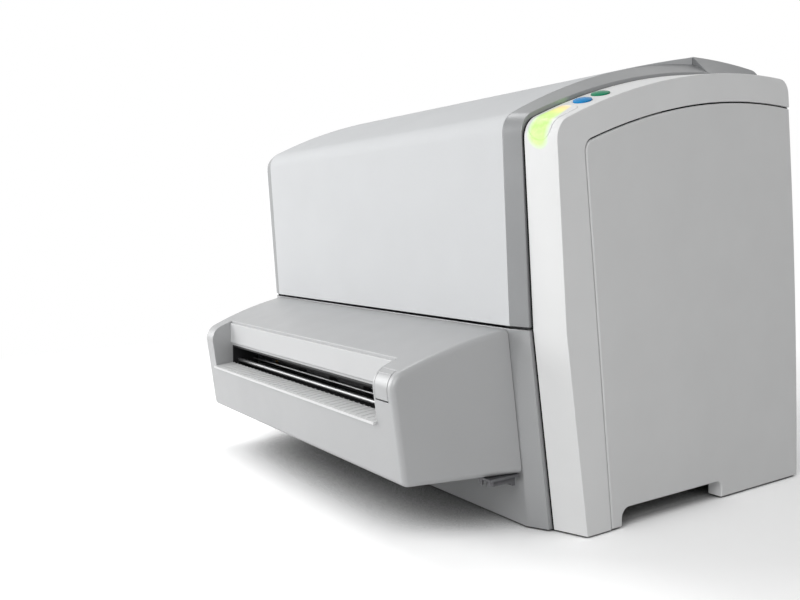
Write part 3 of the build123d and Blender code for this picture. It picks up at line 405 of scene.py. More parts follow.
def lit_patch(finish):
    """Colour of the patch lit from behind, and its level, 1 in the patch and 0 outside; on the lens it is the
    lamp's own light, on the housing round it painted light.
    """
    across, deep, high = finish.axes()
    # Distance along the diagonal that rises to the rear
    run = finish.maths("MULTIPLY", finish.maths("ADD", deep, high), HALF_ROOT)
    end_to_end = finish.spread(run, 0.0, 1.0, start=WINDOW_RUN[0], end=WINDOW_RUN[1])
    glow = finish.ramp(
        end_to_end,
        (0.0, (0.56, 0.86, 0.30)),
        (0.30, (0.46, 0.86, 0.20)),
        (0.58, (0.60, 0.86, 0.20)),
        (0.76, (0.86, 0.78, 0.24)),
        (0.90, (0.92, 0.66, 0.28)),
        (1.0, (0.86, 0.80, 0.62)),
    )
    spots = finish.spread(finish.noise(6.0, detail=2.0), 0.0, 0.35, 0.45, 0.7)
    mottled = finish.mix(spots, glow, (0.76, 0.90, 0.45))
    middle = finish.spread(run, 0.3240, 0.3205, start=0.205, end=0.242)
    half_width = finish.spread(run, 0.0112, 0.0064, start=0.215, end=0.244)
    sideways = finish.maths("SUBTRACT", across, middle)
    below = finish.maths("DIVIDE", finish.maths("SUBTRACT", PATCH_RUN[0], run), HALF_ROOT)
    beyond = finish.maths("DIVIDE", finish.maths("SUBTRACT", run, PATCH_RUN[1]), HALF_ROOT)
    past_end = finish.maths("MAXIMUM", finish.maths("MAXIMUM", below, beyond), 0.0)
    squares = [finish.maths("POWER", part, 2.0) for part in (sideways, past_end)]
    distance = finish.maths("SQRT", finish.maths("ADD", *squares))
    outside = finish.maths("DIVIDE", distance, half_width)
    return mottled, finish.spread(outside, 1.0, 0.0, start=0.62, end=1.12)


def lit_window(name):
    """Milky window lit from behind: lime, warmer to the rear, fading to white at its edge."""
    finish = Finish(name, (0.5, 0.85, 0.16), 0.3)
    colour, level = lit_patch(finish)
    finish.tint(finish.mix(level, HOUSING_COLOUR, colour))
    finish.lit(level, colour)
    finish.relief(finish.noise(0.9, detail=1.0), 0.02, 0.3)
    return finish.material


hood_paint = sprayed_paint("hood_paint", HOOD_COLOUR, roughness=0.5, ior=1.06)
trim_paint = sprayed_paint("trim_paint", TRIM_COLOUR, roughness=0.34, metallic=0.40, ior=1.45)
# Painted light: the cover's paint is the trims' paint made lighter for the light from the floor
cover_paint_painted_light = sprayed_paint("cover_paint_painted_light", COVER_COLOUR_PAINTED_LIGHT, roughness=0.36, metallic=0.35, ior=1.45)
unit_paint = sprayed_paint("unit_paint", UNIT_COLOUR, roughness=0.38, metallic=0.1, ior=1.5)
visor_paint = sprayed_paint("visor_paint", VISOR_COLOUR, roughness=0.42, ior=1.4)
shelf_moulding = textured_moulding("shelf_moulding", SHELF_COLOUR, roughness=0.45)
housing_moulding = textured_moulding("housing_moulding", HOUSING_COLOUR)
# Painted light: the right side housing carries the window's glow round the lens
housing_with_painted_glow = textured_moulding("housing_with_painted_glow", HOUSING_COLOUR, painted_glow=True)
panel_moulding = textured_moulding("panel_moulding", PANEL_COLOUR)
black_moulding = textured_moulding("black_moulding", BLACK, roughness=0.45)
zinc = zinc_sheet("zinc_sheet")
steel = turned_steel("turned_steel", tone=0.66, roughness=0.22)
alloy = cast_alloy("cast_alloy")
black_rubber = rubber("black_rubber", (0.022, 0.022, 0.024), 0.62)
roller_bands = banded_roller("banded_roller")
guide_steel = turned_steel("guide_steel", tone=0.30, roughness=0.42)
# Painted shade: the latch's steel is made dark for the shadow under the input unit
latch_shaded_steel = dark_steel_painted_shade("dark_steel_painted_shade")
# Painted shade: near-black rubber with little gloss, for the bands that stand for the shade deep in the seams
seam_shade_rubber = rubber("seam_shade_rubber", (0.004, 0.004, 0.004), 0.9, ior=1.1)
bush_bronze = bronze("sintered_bronze")
mark_white = textured_moulding("mark_white", (0.75, 0.75, 0.74), grain_mm=0.5, depth=0.01)
mirror_coat = coated_mirror("coated_mirror")
optical_glass = clear_glass("optical_glass", (0.82, 0.92, 0.95))
guide_acrylic = clear_glass("guide_acrylic", (0.70, 0.82, 0.95), 0.05)
frosted_tube = clear_glass("frosted_tube", (0.92, 0.93, 0.9), 0.35, frost=0.6)
board_green = circuit_board("circuit_board")
blue_gloss = glossy_key("blue_gloss", (0.001, 0.25, 0.60))
green_gloss = glossy_key("green_gloss", (0.003, 0.24, 0.115))
window_glow = lit_window("lit_window")

NODE_FINISHES = (
    (hood_paint, ("hood_panel",)),
    (trim_paint, ("hood_frame",)),
    (cover_paint_painted_light, ("lower_front_cover",)),
    (unit_paint, ("input_unit_housing", "release_key")),
    (visor_paint, ("slot_visor",)),
    (shelf_moulding, ("cassette_shelf",)),
    (housing_moulding, ("left_side_housing",)),
    (housing_with_painted_glow, ("right_side_housing",)),
    (panel_moulding, ("right_side_panel", "left_side_panel")),
    (black_moulding, ("slot_throat", "plate_bed", "photomultiplier", "fan_housing", "fan_rotor")),
    (black_moulding, ("mains_inlet", "power_switch", "dust_flap")),
    (zinc, ("base_tray", "left_frame_plate", "right_frame_plate", "cross_members", "rear_panel")),
    (zinc, ("data_socket", "erase_unit_housing", "transport_side_rails", "power_supply")),
    (zinc, ("hood_hinge_brackets", "hood_hinge_leaves")),
    (steel, ("fan_guard", "rear_panel_screws")),
    (guide_steel, ("guide_bars",)),
    (latch_shaded_steel, ("latch_bracket", "latch_lever")),
    (alloy, ("scan_unit_housing", "scan_unit_cover", "scan_mirror_motor", "drive_motor", "motor_pulley")),
    (black_rubber, ("rubber_feet", "drive_belt")),
    (roller_bands, ("feed_roller", "front_transport_roller", "rear_transport_roller")),
    (roller_bands, ("feed_pinch_roller", "front_pinch_roller", "rear_pinch_roller")),
    (bush_bronze, ("roller_bushes",)),
    (mirror_coat, ("fold_mirror", "scan_mirror")),
    (optical_glass, ("scan_lens",)),
    (guide_acrylic, ("light_collector",)),
    (frosted_tube, ("erase_lamps",)),
    (board_green, ("control_board", "strip_boards")),
    (blue_gloss, ("blue_key",)),
    (green_gloss, ("green_key",)),
    (window_glow, ("status_light_lens",)),
)
for finish, names in NODE_FINISHES:
    for name in names:
        nodes[name].data.materials.clear()
        nodes[name].data.materials.append(finish)


# Mesh helpers

JOIN_DISTANCE = 0.00001
FLAT_ANGLE = math.radians(0.3)
CREASE = math.radians(32)
SHARP_CORNER = math.radians(40)
METAL_THICKNESS = 0.0002


def points_in(geometry):
    return [item for item in geometry if isinstance(item, bmesh.types.BMVert)]


def edges_of(verts):
    """Every edge that runs between the given points."""
    chosen = set(verts)
    near = dict.fromkeys(edge for vert in verts for edge in vert.link_edges)
    return [edge for edge in near if set(edge.verts) <= chosen]


def ring_of(shape, radius, points=24):
    """Circle of points round the z axis, and the edges between them."""
    verts = bmesh.ops.create_circle(shape, segments=points, radius=radius)["verts"]
    return verts, edges_of(verts)


def stepped(shape, edges, spread, drop):
    """Extrudes a ring of edges to a new ring, wider or narrower and lower."""
    verts = points_in(bmesh.ops.extrude_edge_only(shape, edges=edges)["geom"])
    bmesh.ops.scale(shape, vec=(spread, spread, 1), verts=verts)
    bmesh.ops.translate(shape, vec=(0, 0, -drop), verts=verts)
    return verts, edges_of(verts)


def joined_copy(node):
    """The node's shape with its loose triangles joined and its flat faces made whole."""
    shape = bmesh.new()
    shape.from_mesh(nodes[node].data)
    bmesh.ops.remove_doubles(shape, verts=shape.verts, dist=JOIN_DISTANCE)
    bmesh.ops.dissolve_limit(shape, angle_limit=FLAT_ANGLE, verts=shape.verts, edges=shape.edges)
    return shape


def finished(name, shape, finish, body, stands_for=()):
    """Turns a shape into a piece with smooth faces, crisp edges, its finish and the body it rides on."""
    for face in shape.faces:
        face.smooth = True
    for edge in shape.edges:
        edge.smooth = len(edge.link_faces) == 2 and edge.calc_face_angle() < CREASE
    data = bpy.data.meshes.new(name)
    shape.to_mesh(data)
    shape.free()
    data.materials.append(finish)
    piece = bpy.data.objects.new(name, data)
    scene.collection.objects.link(piece)
    even = piece.modifiers.new("even_light", "WEIGHTED_NORMAL")
    even.keep_sharp = True
    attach(piece, body)
    if stands_for:
        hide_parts(*stands_for)


# Softened mouldings: copies of the nodes whose sharp outer edges are rounded as a mould leaves them


def softened(node, finish, body, radius_mm):
    """Copy of a node with its sharp outer edges rounded."""
    shape = joined_copy(node)
    sharp = []
    for edge in shape.edges:
        if len(edge.link_faces) == 2 and edge.is_convex and edge.calc_face_angle() > SHARP_CORNER:
            sharp.append(edge)
    bmesh.ops.bevel(
        shape,
        geom=sharp,
        offset=radius_mm / 1000.0,
        offset_type="OFFSET",
        segments=2,
        profile=0.5,
        affect="EDGES",
        clamp_overlap=False,
        material=-1,
    )
    finished(node + "_moulded", shape, finish, body, (node,))


softened("hood_panel", hood_paint, "hood", 0.5)
softened("hood_frame", trim_paint, "hood", 0.7)
softened("lower_front_cover", cover_paint_painted_light, "machine", 0.7)
softened("right_side_housing", housing_with_painted_glow, "machine", 0.7)
softened("left_side_housing", housing_moulding, "machine", 0.7)
softened("input_unit_housing", unit_paint, "machine", 0.6)
softened("slot_visor", visor_paint, "machine", 0.3)
softened("cassette_shelf", shelf_moulding, "machine", 0.3)
softened("release_key", unit_paint, "release_key", 0.4)
softened("right_side_panel", panel_moulding, "machine", 0.9)
softened("left_side_panel", panel_moulding, "machine", 0.9)


# Black bands in the two seams of each side: painted shade, standing in for the shade deep in the seams

# Places across the width: where the strip's outline is cut, and the black band's two sides
STRIP_CUT_X = 0.3096
TRIM_SHADE_BAND_SIDES_X = (0.3088, 0.3073)
TRIM_SHADE_BAND_SET_BACK = 0.0010
# The same for the side panel and its black band, which ends above the feet and leaves out the rear edge
PANEL_CUT_X = 0.3395
PANEL_SHADE_BAND_SIDES_X = (0.3405, 0.3432)
PANEL_SHADE_BAND_WIDTH = 0.0014
PANEL_SHADE_BAND_LOWEST = 0.030
PANEL_SHADE_BAND_FRONT_Y = -0.04
PANEL_SHADE_BAND_TOP_Z = 0.470


def section(node, at_x):
    """Closed loops where the node is cut at x, each as a list of edges, the longest first."""
    shape = joined_copy(node)
    bmesh.ops.bisect_plane(
        shape,
        geom=list(shape.verts) + list(shape.edges) + list(shape.faces),
        plane_co=(at_x, 0, 0),
        plane_no=(1, 0, 0),
        clear_inner=True,
        clear_outer=True,
    )
    bmesh.ops.remove_doubles(shape, verts=shape.verts, dist=0.00002)
    loops = []
    left = dict.fromkeys(shape.edges)
    while left:
        loop = [left.popitem()[0]]
        for edge in loop:
            for vert in edge.verts:
                for other in vert.link_edges:
                    if other in left:
                        del left[other]
                        loop.append(other)
        loops.append(loop)
    loops.sort(key=lambda loop: -sum(edge.calc_length() for edge in loop))
    return shape, loops


def mirrored(shape):
    """The same shape on the other side of the middle plane."""
    copy = shape.copy()
    bmesh.ops.scale(copy, vec=(-1, 1, 1), verts=copy.verts)
    bmesh.ops.reverse_faces(copy, faces=copy.faces)
    return copy


def pulled(shape, faces, from_x, to_x):
    """Makes a solid band of the faces, between two places across the width."""
    rest = [face for face in shape.faces if face not in faces]
    bmesh.ops.delete(shape, geom=rest, context="FACES")
    bmesh.ops.translate(shape, vec=(from_x - next(iter(shape.verts)).co.x, 0, 0), verts=shape.verts)
    moved = points_in(bmesh.ops.extrude_face_region(shape, geom=list(shape.faces))["geom"])
    bmesh.ops.translate(shape, vec=(to_x - from_x, 0, 0), verts=moved)
    bmesh.ops.recalc_face_normals(shape, faces=shape.faces)


def trim_seam_shade_band():
    """Black band between the trims and the strip, a little below their surface, standing in for the shade
    deep in the seam.
    """
    shape, loops = section("right_side_housing", STRIP_CUT_X)
    made = bmesh.ops.contextual_create(shape, geom=loops[0])["faces"]
    bmesh.ops.inset_region(shape, faces=made, thickness=TRIM_SHADE_BAND_SET_BACK, use_even_offset=True)
    pulled(shape, made, *TRIM_SHADE_BAND_SIDES_X)
    return shape


def panel_seam_shade_band():
    """Black band round the front and top of the side panel, at the bottom of its gap, standing in for the
    shade deep in the gap.
    """
    shape, loops = section("right_side_panel", PANEL_CUT_X)
    made = bmesh.ops.contextual_create(shape, geom=loops[0])["faces"]
    # A negative inset lays the rim outside the panel's outline
    rim = bmesh.ops.inset_region(
        shape, faces=made, thickness=-PANEL_SHADE_BAND_WIDTH, use_boundary=True, use_even_offset=True
    )["faces"]
    kept = []
    for face in rim:
        middle = face.calc_center_median()
        if middle.z > PANEL_SHADE_BAND_LOWEST and (middle.y < PANEL_SHADE_BAND_FRONT_Y or middle.z > PANEL_SHADE_BAND_TOP_Z):
            kept.append(face)
    pulled(shape, kept, *PANEL_SHADE_BAND_SIDES_X)
    return shape


# Painted shade: black bands in the seams, on both sides
for shade_band, maker in (("trim_seam_shade", trim_seam_shade_band), ("panel_seam_shade_band", panel_seam_shade_band)):
    right = maker()
    finished("left_" + shade_band, mirrored(right), seam_shade_rubber, "machine")
    finished("right_" + shade_band, right, seam_shade_rubber, "machine")


# Small hardware: screws, fan guard, contacts and the marks on the power switch

REAR_LEAN = math.atan2(0.050, 0.486)
REAR_SCREWS = ((0.300, 0.480), (0.300, 0.330), (0.315, 0.180), (0.315, 0.030), (0.110, 0.485), (0.110, 0.022))
SCAN_COVER_TOP = 0.388
LATCH_UNDERSIDE = 0.0612
FAN_PLACE = (0.0, 0.410)
GUARD_RINGS = (0.012, 0.021, 0.030)
SPOKE_START = 0.0112
SPOKE_LENGTH = 0.0324
FAN_EYE_OUT = 0.0468
WIRE_RADIUS = 0.0010
INLET_PLACE = (-0.200, 0.062)
NETWORK_PLACE = (0.200, 0.062)


def rear_place(x, z):
    """Place on the rear panel's outer face: its x runs to the object's left, its y up, its z outwards."""
    surface = Vector((x, 0.295 - 0.050 * (z - 0.012) / 0.486, z))
    outward = Vector((0, math.cos(REAR_LEAN), math.sin(REAR_LEAN)))
    upward = Vector((0, -math.sin(REAR_LEAN), math.cos(REAR_LEAN)))
    turn = Matrix((Vector((-1, 0, 0)), upward, outward)).transposed().to_4x4()
    return Matrix.Translation(surface) @ turn


def add_screw(shape, place, radius, height):
    """Domed screw head with a six-lobed recess, standing on its place."""
    lobed, lobed_edges = ring_of(shape, 1.0)
    for vert in lobed:
        vert.co *= radius * (0.37 + 0.055 * math.cos(6 * math.atan2(vert.co.y, vert.co.x)))
    rim, rim_edges = ring_of(shape, 0.66 * radius)
    bmesh.ops.bridge_loops(shape, edges=lobed_edges + rim_edges)
    made = lobed + rim
    for spread, drop in ((1.27, 0.09), (1.13, 0.21), (1.056, 0.30), (1.0, 0.40)):
        rim, rim_edges = stepped(shape, rim_edges, spread, drop * height)
        made += rim
    bmesh.ops.contextual_create(shape, geom=rim_edges)
    floor, floor_edges = stepped(shape, lobed_edges, 0.92, 0.55 * height)
    bmesh.ops.contextual_create(shape, geom=floor_edges)
    made += floor
    bmesh.ops.translate(shape, vec=(0, 0, height), verts=made)
    bmesh.ops.transform(shape, matrix=place, verts=made)


def screws(name, places, radius_mm, height_mm, stands_for=()):
    """One piece with a screw head at every place."""
    shape = bmesh.new()
    for place in places:
        add_screw(shape, place, radius_mm / 1000.0, height_mm / 1000.0)
    bmesh.ops.recalc_face_normals(shape, faces=shape.faces)
    finished(name, shape, steel, "machine", stands_for)


panel_places = [rear_place(side * x, z) for x, z in REAR_SCREWS for side in (-1, 1)]
screws("rear_panel_screw_heads", panel_places, 3.6, 2.2, ("rear_panel_screws",))

cover_places = []
for x in (-0.1, 0.1):
    for y in (-0.03, 0.065, 0.16):
        cover_places.append(Matrix.Translation((x, y, SCAN_COVER_TOP)))
screws("scan_cover_screws", cover_places, 3.2, 2.0)

upside_down = Matrix.Rotation(math.pi, 4, "X")
latch_places = [Matrix.Translation((0.2665, y, LATCH_UNDERSIDE)) @ upside_down for y in (-0.178, -0.163)]
screws("latch_bracket_screws", latch_places, 2.2, 1.4)


def turned_profile(shape, verts, steps):
    """Sweeps a drawn profile once round the z axis."""
    bmesh.ops.spin(
        shape,
        geom=list(verts) + edges_of(verts),
        cent=(0, 0, 0),
        axis=(0, 0, 1),
        angle=2 * math.pi,
        steps=steps,
        use_merge=True,
    )


def wire_fan_guard():
    """Three wire rings on four wire spokes, with a screwed eye at the end of each spoke."""
    shape = bmesh.new()
    upright = Matrix.Rotation(math.radians(90), 3, "X")
    for ring_radius in GUARD_RINGS:
        wire, _ = ring_of(shape, WIRE_RADIUS, 10)
        bmesh.ops.rotate(shape, verts=wire, matrix=upright)
        bmesh.ops.translate(shape, vec=(ring_radius, 0, 0.0012), verts=wire)
        turned_profile(shape, wire, 48)
    for quarter in range(4):
        turn = Matrix.Rotation(math.radians(45 + 90 * quarter), 3, "Z")
        end = bmesh.ops.create_circle(shape, segments=10, radius=WIRE_RADIUS, cap_ends=True)["verts"]
        bmesh.ops.rotate(shape, verts=end, matrix=Matrix.Rotation(math.radians(90), 3, "Y"))
        bmesh.ops.translate(shape, vec=(SPOKE_START, 0, 0.0030), verts=end)
        cap = list(end[0].link_faces)
        far = points_in(bmesh.ops.extrude_face_region(shape, geom=cap)["geom"])
        bmesh.ops.translate(shape, vec=(SPOKE_LENGTH, 0, 0), verts=far)
        bmesh.ops.rotate(shape, verts=list(end) + far, cent=(0, 0, 0), matrix=turn)
    eyes = bmesh.new()
    band = bmesh.ops.create_grid(eyes, x_segments=1, y_segments=1, size=0.0009)["verts"]
    bmesh.ops.rotate(eyes, verts=band, matrix=upright)
    bmesh.ops.translate(eyes, vec=(0.0031, 0, 0.0021), verts=band)
    bmesh.ops.delete(eyes, geom=list(eyes.faces), context="FACES_ONLY")
    turned_profile(eyes, band, 20)
    eye = bpy.data.meshes.new("eye")
    eyes.to_mesh(eye)
    eyes.free()
    for quarter in range(4):
        turn = Matrix.Rotation(math.radians(45 + 90 * quarter), 4, "Z")
        place = turn @ Matrix.Translation((FAN_EYE_OUT, 0, 0))
        first = len(shape.verts)
        shape.from_mesh(eye)
        shape.verts.ensure_lookup_table()
        bmesh.ops.transform(shape, matrix=place, verts=shape.verts[first:])
        add_screw(shape, place @ Matrix.Translation((0, 0, 0.0020)), 0.0029, 0.0019)
    bpy.data.meshes.remove(eye)
    bmesh.ops.remove_doubles(shape, verts=shape.verts, dist=0.000002)
    bmesh.ops.recalc_face_normals(shape, faces=shape.faces)
    bmesh.ops.transform(shape, matrix=rear_place(*FAN_PLACE), verts=shape.verts)
    finished("fan_guard_wires", shape, steel, "machine", ("fan_guard",))


wire_fan_guard()


def network_contacts():
    """Eight sprung contacts along the top of the network socket's well."""
    shape = bmesh.new()
    for row in range(8):
        strip = bmesh.ops.create_grid(shape, x_segments=1, y_segments=5, size=0.5)["verts"]
        bmesh.ops.scale(shape, vec=(0.00055, 0.008, 1), verts=strip)
        for vert in strip:
            vert.co.z = 0.0006 - 26.0 * (vert.co.y + 0.001) ** 2
        bmesh.ops.rotate(shape, verts=strip, matrix=Matrix.Rotation(math.radians(90), 3, "X"))
        bmesh.ops.translate(shape, vec=((row - 3.5) * 0.0012, 0.0032, -0.0062), verts=strip)
    bmesh.ops.solidify(shape, geom=list(shape.faces), thickness=METAL_THICKNESS)
    bmesh.ops.recalc_face_normals(shape, faces=shape.faces)
    bmesh.ops.transform(shape, matrix=rear_place(*NETWORK_PLACE), verts=shape.verts)
    finished("network_contacts", shape, bush_bronze, "machine")


def inlet_blades():
    """Three brass blades with chamfered tips over the inlet's pins."""
    shape = bmesh.new()
    for x, y in ((-0.006, -0.008), (0.006, -0.008), (0.0, -0.013)):
        blade = bmesh.ops.create_cube(shape, size=1.0)["verts"]
        bmesh.ops.scale(shape, vec=(0.0019, 0.0038, 0.0102), verts=blade)
        bmesh.ops.translate(shape, vec=(x, y, -0.0118), verts=blade)
        tip = [vert for vert in blade if vert.co.z > -0.01]
        bmesh.ops.bevel(
            shape, geom=edges_of(tip), offset=0.0005, segments=2, profile=0.5, affect="EDGES", material=-1
        )
    bmesh.ops.transform(shape, matrix=rear_place(*INLET_PLACE), verts=shape.verts)
    finished("inlet_blades", shape, bush_bronze, "machine")


def switch_marks():
    """Raised bar and ring on the two faces of the power switch."""
    shape = bmesh.new()
    bar = bmesh.ops.create_grid(shape, x_segments=1, y_segments=1, size=0.5)["verts"]
    bmesh.ops.scale(shape, vec=(0.0007, 0.0030, 1), verts=bar)
    bmesh.ops.bevel(
        shape, geom=list(bar), offset=0.0003, segments=3, profile=0.5, affect="VERTICES", material=-1
    )
    bmesh.ops.translate(shape, vec=(0, 0.0161, 0.0002), verts=shape.verts)
    outer, outer_edges = ring_of(shape, 0.0015, 28)
    inner, inner_edges = ring_of(shape, 0.0010, 28)
    bmesh.ops.bridge_loops(shape, edges=outer_edges + inner_edges)
    ring = outer + inner
    # The lower face of the rocker slopes outwards towards its end
    slope = math.atan2(0.0017, 0.0055)
    bmesh.ops.rotate(shape, verts=ring, matrix=Matrix.Rotation(-slope, 3, "X"))
    bmesh.ops.translate(shape, vec=(0, 0.01025, 0.00105), verts=ring)
    bmesh.ops.recalc_face_normals(shape, faces=shape.faces)
    raised = points_in(bmesh.ops.extrude_face_region(shape, geom=list(shape.faces))["geom"])
    bmesh.ops.translate(shape, vec=(0, 0, 0.00008), verts=raised)
    bmesh.ops.recalc_face_normals(shape, faces=shape.faces)
    bmesh.ops.transform(shape, matrix=rear_place(*INLET_PLACE), verts=shape.verts)
    finished("switch_marks", shape, mark_white, "power_switch")


network_contacts()
inlet_blades()
switch_marks()


# Parts on the control board

BOARD_TOP = 0.0236
CHIP_FOOT = BOARD_TOP + 0.0004
CAPACITORS_X = (-0.130, -0.110, -0.090, -0.070, -0.050)
CAPACITORS_Y = 0.180
# Steps of a capacitor's sleeve from its top down: growth of the ring, and drop
SLEEVE_STEPS = (
    (1.16, -0.0003),
    (1.16, 0.0004),
    (1.06, 0.0008),
    (1.0, 0.0132),
    (0.95, 0.0005),
    (1.03, 0.0005),
)
# Chips: middle, distance of the leads from it, and leads on each side
CHIPS = (((-0.2225, 0.0775), 0.0177, 16), ((-0.165, 0.075), 0.0152, 12))
LEAD_PITCH = 0.0019
# Bends of a lead by step: distance out, and height
LEAD_BENDS = ((0.0, 0.0013), (0.0008, 0.0013), (0.0012, 0.0002), (0.0022, 0.0002))
# Pin header: its two rows, its first pin, and the middle height and pitch of the pins
HEADER_ROWS_Y = (0.2225, 0.2305)
HEADER_START_X = -0.2408
PIN_MIDDLE_Z = 0.0385
PIN_PITCH = 0.0056
# Heat sink: its middle, size, height and flat top, and its fins
SINK_MIDDLE = (-0.095, 0.080)
SINK_SIZE = (0.0504, 0.0404)
SINK_HEIGHT = 0.0206
SINK_TOP = 0.0442
FIN_HEIGHT = 0.010
FINS = 12


def soft_block(shape, low, high, radius):
    """Block between two corners, in metres, with its edges rounded."""
    block = bmesh.ops.create_cube(shape, size=1.0)["verts"]
    bmesh.ops.scale(shape, vec=[b - a for a, b in zip(low, high)], verts=block)
    bmesh.ops.translate(shape, vec=[(a + b) / 2 for a, b in zip(low, high)], verts=block)
    bmesh.ops.bevel(
        shape, geom=edges_of(block), offset=radius, segments=2, profile=0.5, affect="EDGES", material=-1
    )


def board_packages():
    """Two chip bodies, a pin header's shroud and five capacitor sleeves."""
    shape = bmesh.new()
    soft_block(shape, (-0.2402, 0.0598, CHIP_FOOT), (-0.2048, 0.0952, 0.0272), 0.0003)
    soft_block(shape, (-0.1802, 0.0598, CHIP_FOOT), (-0.1498, 0.0902, 0.0262), 0.0003)
    soft_block(shape, (-0.2502, 0.2148, BOARD_TOP), (-0.1698, 0.2382, 0.0362), 0.0004)
    for x in CAPACITORS_X:
        ring, ring_edges = ring_of(shape, 0.0044)
        made = list(ring)
        bmesh.ops.contextual_create(shape, geom=ring_edges)
        for spread, drop in SLEEVE_STEPS:
            ring, ring_edges = stepped(shape, ring_edges, spread, drop)
            made += ring
        bmesh.ops.contextual_create(shape, geom=ring_edges)
        bmesh.ops.translate(shape, vec=(x, CAPACITORS_Y, BOARD_TOP + 0.0152), verts=made)
    bmesh.ops.recalc_face_normals(shape, faces=shape.faces)
    finished("board_packages", shape, black_moulding, "machine")


def add_lead(shape, place, width):
    """One bent lead: out of the package, down, and flat on the board."""
    strip = bmesh.ops.create_grid(shape, x_segments=1, y_segments=3, size=0.5)["verts"]
    for vert in strip:
        out, up = LEAD_BENDS[round(3 * (vert.co.y + 0.5))]
        vert.co = Vector((vert.co.x * width, out, up))
    bmesh.ops.transform(shape, matrix=place, verts=strip)


def board_leads():
    """Leads round both chips, and the header's pins."""
    shape = bmesh.new()
    for middle, out, count in CHIPS:
        for side in range(4):
            turn = Matrix.Rotation(math.radians(90 * side), 4, "Z")
            for number in range(count):
                along = (number - (count - 1) / 2) * LEAD_PITCH
                place = Matrix.Translation((*middle, BOARD_TOP)) @ turn
                add_lead(shape, place @ Matrix.Translation((along, out, 0)), 0.0008)
    bmesh.ops.solidify(shape, geom=list(shape.faces), thickness=METAL_THICKNESS)
    for row in HEADER_ROWS_Y:
        for number in range(12):
            pin = bmesh.ops.create_cone(
                shape, segments=4, radius1=0.0006, radius2=0.0004, depth=0.005, cap_ends=True
            )["verts"]
            along = HEADER_START_X + PIN_PITCH * number
            bmesh.ops.translate(shape, vec=(along, row, PIN_MIDDLE_Z), verts=pin)
    bmesh.ops.recalc_face_normals(shape, faces=shape.faces)
    finished("board_leads", shape, steel, "machine")


def heat_sink_fins():
    """Upright fins along the top of the board's heat sink."""
    shape = bmesh.new()
    plate = bmesh.ops.create_grid(shape, x_segments=2 * FINS - 1, y_segments=1, size=0.5)["verts"]
    bmesh.ops.scale(shape, vec=(*SINK_SIZE, 1), verts=plate)
    bmesh.ops.translate(shape, vec=(*SINK_MIDDLE, SINK_TOP), verts=plate)
    columns = sorted(shape.faces, key=lambda face: face.calc_center_median().x)
    bmesh.ops.recalc_face_normals(shape, faces=shape.faces)
    for column in columns[::2]:
        grown = bmesh.ops.extrude_discrete_faces(shape, faces=[column])["faces"]
        bmesh.ops.translate(shape, vec=(0, 0, FIN_HEIGHT), verts=list(grown[0].verts))
    skirt = [edge for edge in shape.edges if len(edge.link_faces) == 1]
    low = points_in(bmesh.ops.extrude_edge_only(shape, edges=skirt)["geom"])
    bmesh.ops.translate(shape, vec=(0, 0, -SINK_HEIGHT), verts=low)
    bmesh.ops.contextual_create(shape, geom=edges_of(low))
    bmesh.ops.recalc_face_normals(shape, faces=shape.faces)
    finished("heat_sink_fins", shape, alloy, "machine")


board_packages()
board_leads()
heat_sink_fins()


# Studio: pale floor and background, soft light from the front left, weaker light from the right

WHITE = (1.0, 1.0, 1.0)
WORLD_LIGHT = 0.35
# Painted shadow: tone of the floor where it is seen directly, by how open it is to the sky, so that it is
# darker close to the object
FLOOR_PAINTED_SHADOW = ((0.0, 0.04), (0.2, 0.42), (0.45, 1.4), (1.0, 1.5))
# Lamps: name, place, aim, width, height, watts and colour
LAMPS = (
    ("left_softbox", (-2.3, -2.2, 1.1), (0.0, 0.0, 0.3), 1.6, 1.6, 56.0, WHITE),
    ("right_softbox", (1.2, -2.6, 1.5), (0.0, 0.0, 0.3), 1.6, 1.6, 34.0, WHITE),
    ("top_softbox", (-0.9, -0.2, 2.3), (0.2, -0.1, 0.4), 0.9, 0.9, 8.5, WHITE),
    # The lit window's own light on the trim beside it
    ("window_light", (0.322, -0.130, 0.478), (0.300, -0.140, 0.490), 0.05, 0.012, 0.0012, (0.45, 1.0, 0.12)),
)


def seen_directly(tree):
    """1 for rays from the camera, in a reflection or through glass, and 0 for all others."""
    light_path = tree.nodes.new("ShaderNodeLightPath")
    seen = light_path.outputs["Is Camera Ray"]
    for kind in ("Is Glossy Ray", "Is Transmission Ray"):
        either = tree.nodes.new("ShaderNodeMath")
        either.operation = "MAXIMUM"
        tree.links.new(seen, either.inputs[0])
        tree.links.new(light_path.outputs[kind], either.inputs[1])
        seen = either.outputs["Value"]
    return seen


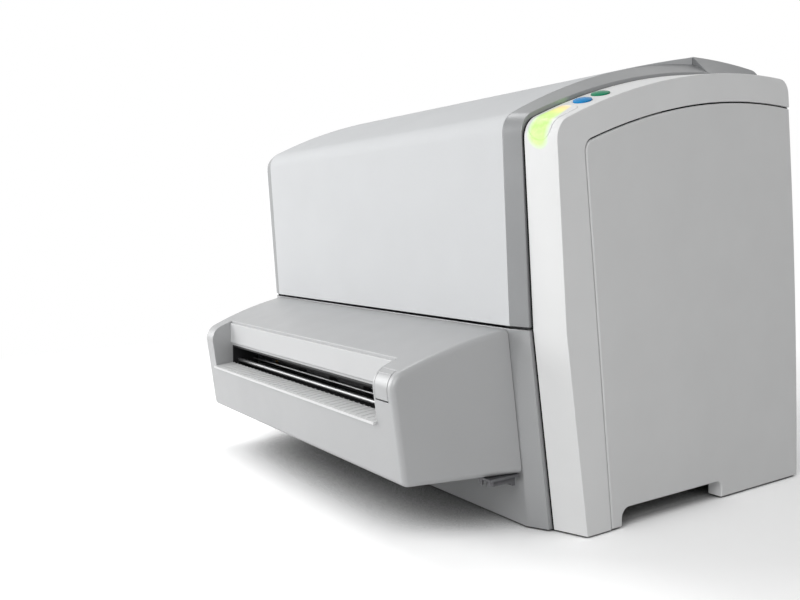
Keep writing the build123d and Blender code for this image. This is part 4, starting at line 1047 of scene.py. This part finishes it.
def studio_floor():
    """Sheet of pale paper that keeps the object's shadow, deepened by a painted shadow where it is seen
    directly, darker the less sky it sees, and that turns plain white further out.
    """
    mesh = bmesh.new()
    bmesh.ops.create_grid(mesh, x_segments=1, y_segments=1, size=6.0)
    data = bpy.data.meshes.new("studio_floor")
    mesh.to_mesh(data)
    mesh.free()
    floor = bpy.data.objects.new("studio_floor", data)
    scene.collection.objects.link(floor)
    finish = Finish("studio_floor", (0.80, 0.80, 0.80), 0.6)
    cloud = finish.noise(400.0, detail=2.0)
    finish.tint(finish.blend(cloud, (0.795, 0.795, 0.795), (0.805, 0.805, 0.805)))
    paper = finish.add("ShaderNodeBsdfDiffuse")
    # Painted shadow: the paper's colour follows how much of the sky each point sees
    corners = finish.add("ShaderNodeAmbientOcclusion", samples=8)
    corners.inputs["Distance"].default_value = 0.30
    stops = [(position, (level, level, level)) for position, level in FLOOR_PAINTED_SHADOW]
    painted_shadow_tone = finish.ramp(corners.outputs["AO"], *stops)
    finish.join(painted_shadow_tone, paper.inputs["Color"])
    glow = finish.add("ShaderNodeEmission")
    distance = finish.add("ShaderNodeVectorMath", operation="LENGTH")
    finish.join(finish.place, distance.inputs[0])
    far = finish.spread(distance.outputs["Value"], 0.0, 1.0, start=0.55, end=1.5)
    sweep = finish.add("ShaderNodeMixShader")
    finish.join(far, sweep.inputs["Fac"])
    finish.join(paper.outputs["BSDF"], sweep.inputs[1])
    finish.join(glow.outputs["Emission"], sweep.inputs[2])
    both = finish.add("ShaderNodeMixShader")
    finish.join(seen_directly(finish.tree), both.inputs["Fac"])
    finish.join(finish.shader.outputs["BSDF"], both.inputs[1])
    finish.join(sweep.outputs["Shader"], both.inputs[2])
    output = finish.tree.nodes["Material Output"]
    finish.join(both.outputs["Shader"], output.inputs["Surface"])
    data.materials.append(finish.material)


def studio_world():
    """Weak even light on the object, and plain white where it is seen."""
    world = bpy.data.worlds.new("studio_world")
    scene.world = world
    world.use_nodes = True
    tree = world.node_tree
    background = tree.nodes["Background"]
    background.inputs["Color"].default_value = (*WHITE, 1.0)
    level = tree.nodes.new("ShaderNodeMapRange")
    level.inputs["To Min"].default_value = WORLD_LIGHT
    level.inputs["To Max"].default_value = 1.0
    tree.links.new(seen_directly(tree), level.inputs["Value"])
    tree.links.new(level.outputs["Result"], background.inputs["Strength"])


def softbox(name, place, aim, width, height, watts, colour):
    """Rectangular lamp that faces its aim."""
    data = bpy.data.lights.new(name, "AREA")
    data.color = colour
    data.shape = "RECTANGLE"
    data.size = width
    data.size_y = height
    data.energy = watts
    lamp = bpy.data.objects.new(name, data)
    scene.collection.objects.link(lamp)
    lamp.location = place
    lamp.rotation_euler = (Vector(aim) - Vector(place)).to_track_quat("-Z", "Y").to_euler()


studio_floor()
studio_world()
for lamp in LAMPS:
    softbox(*lamp)
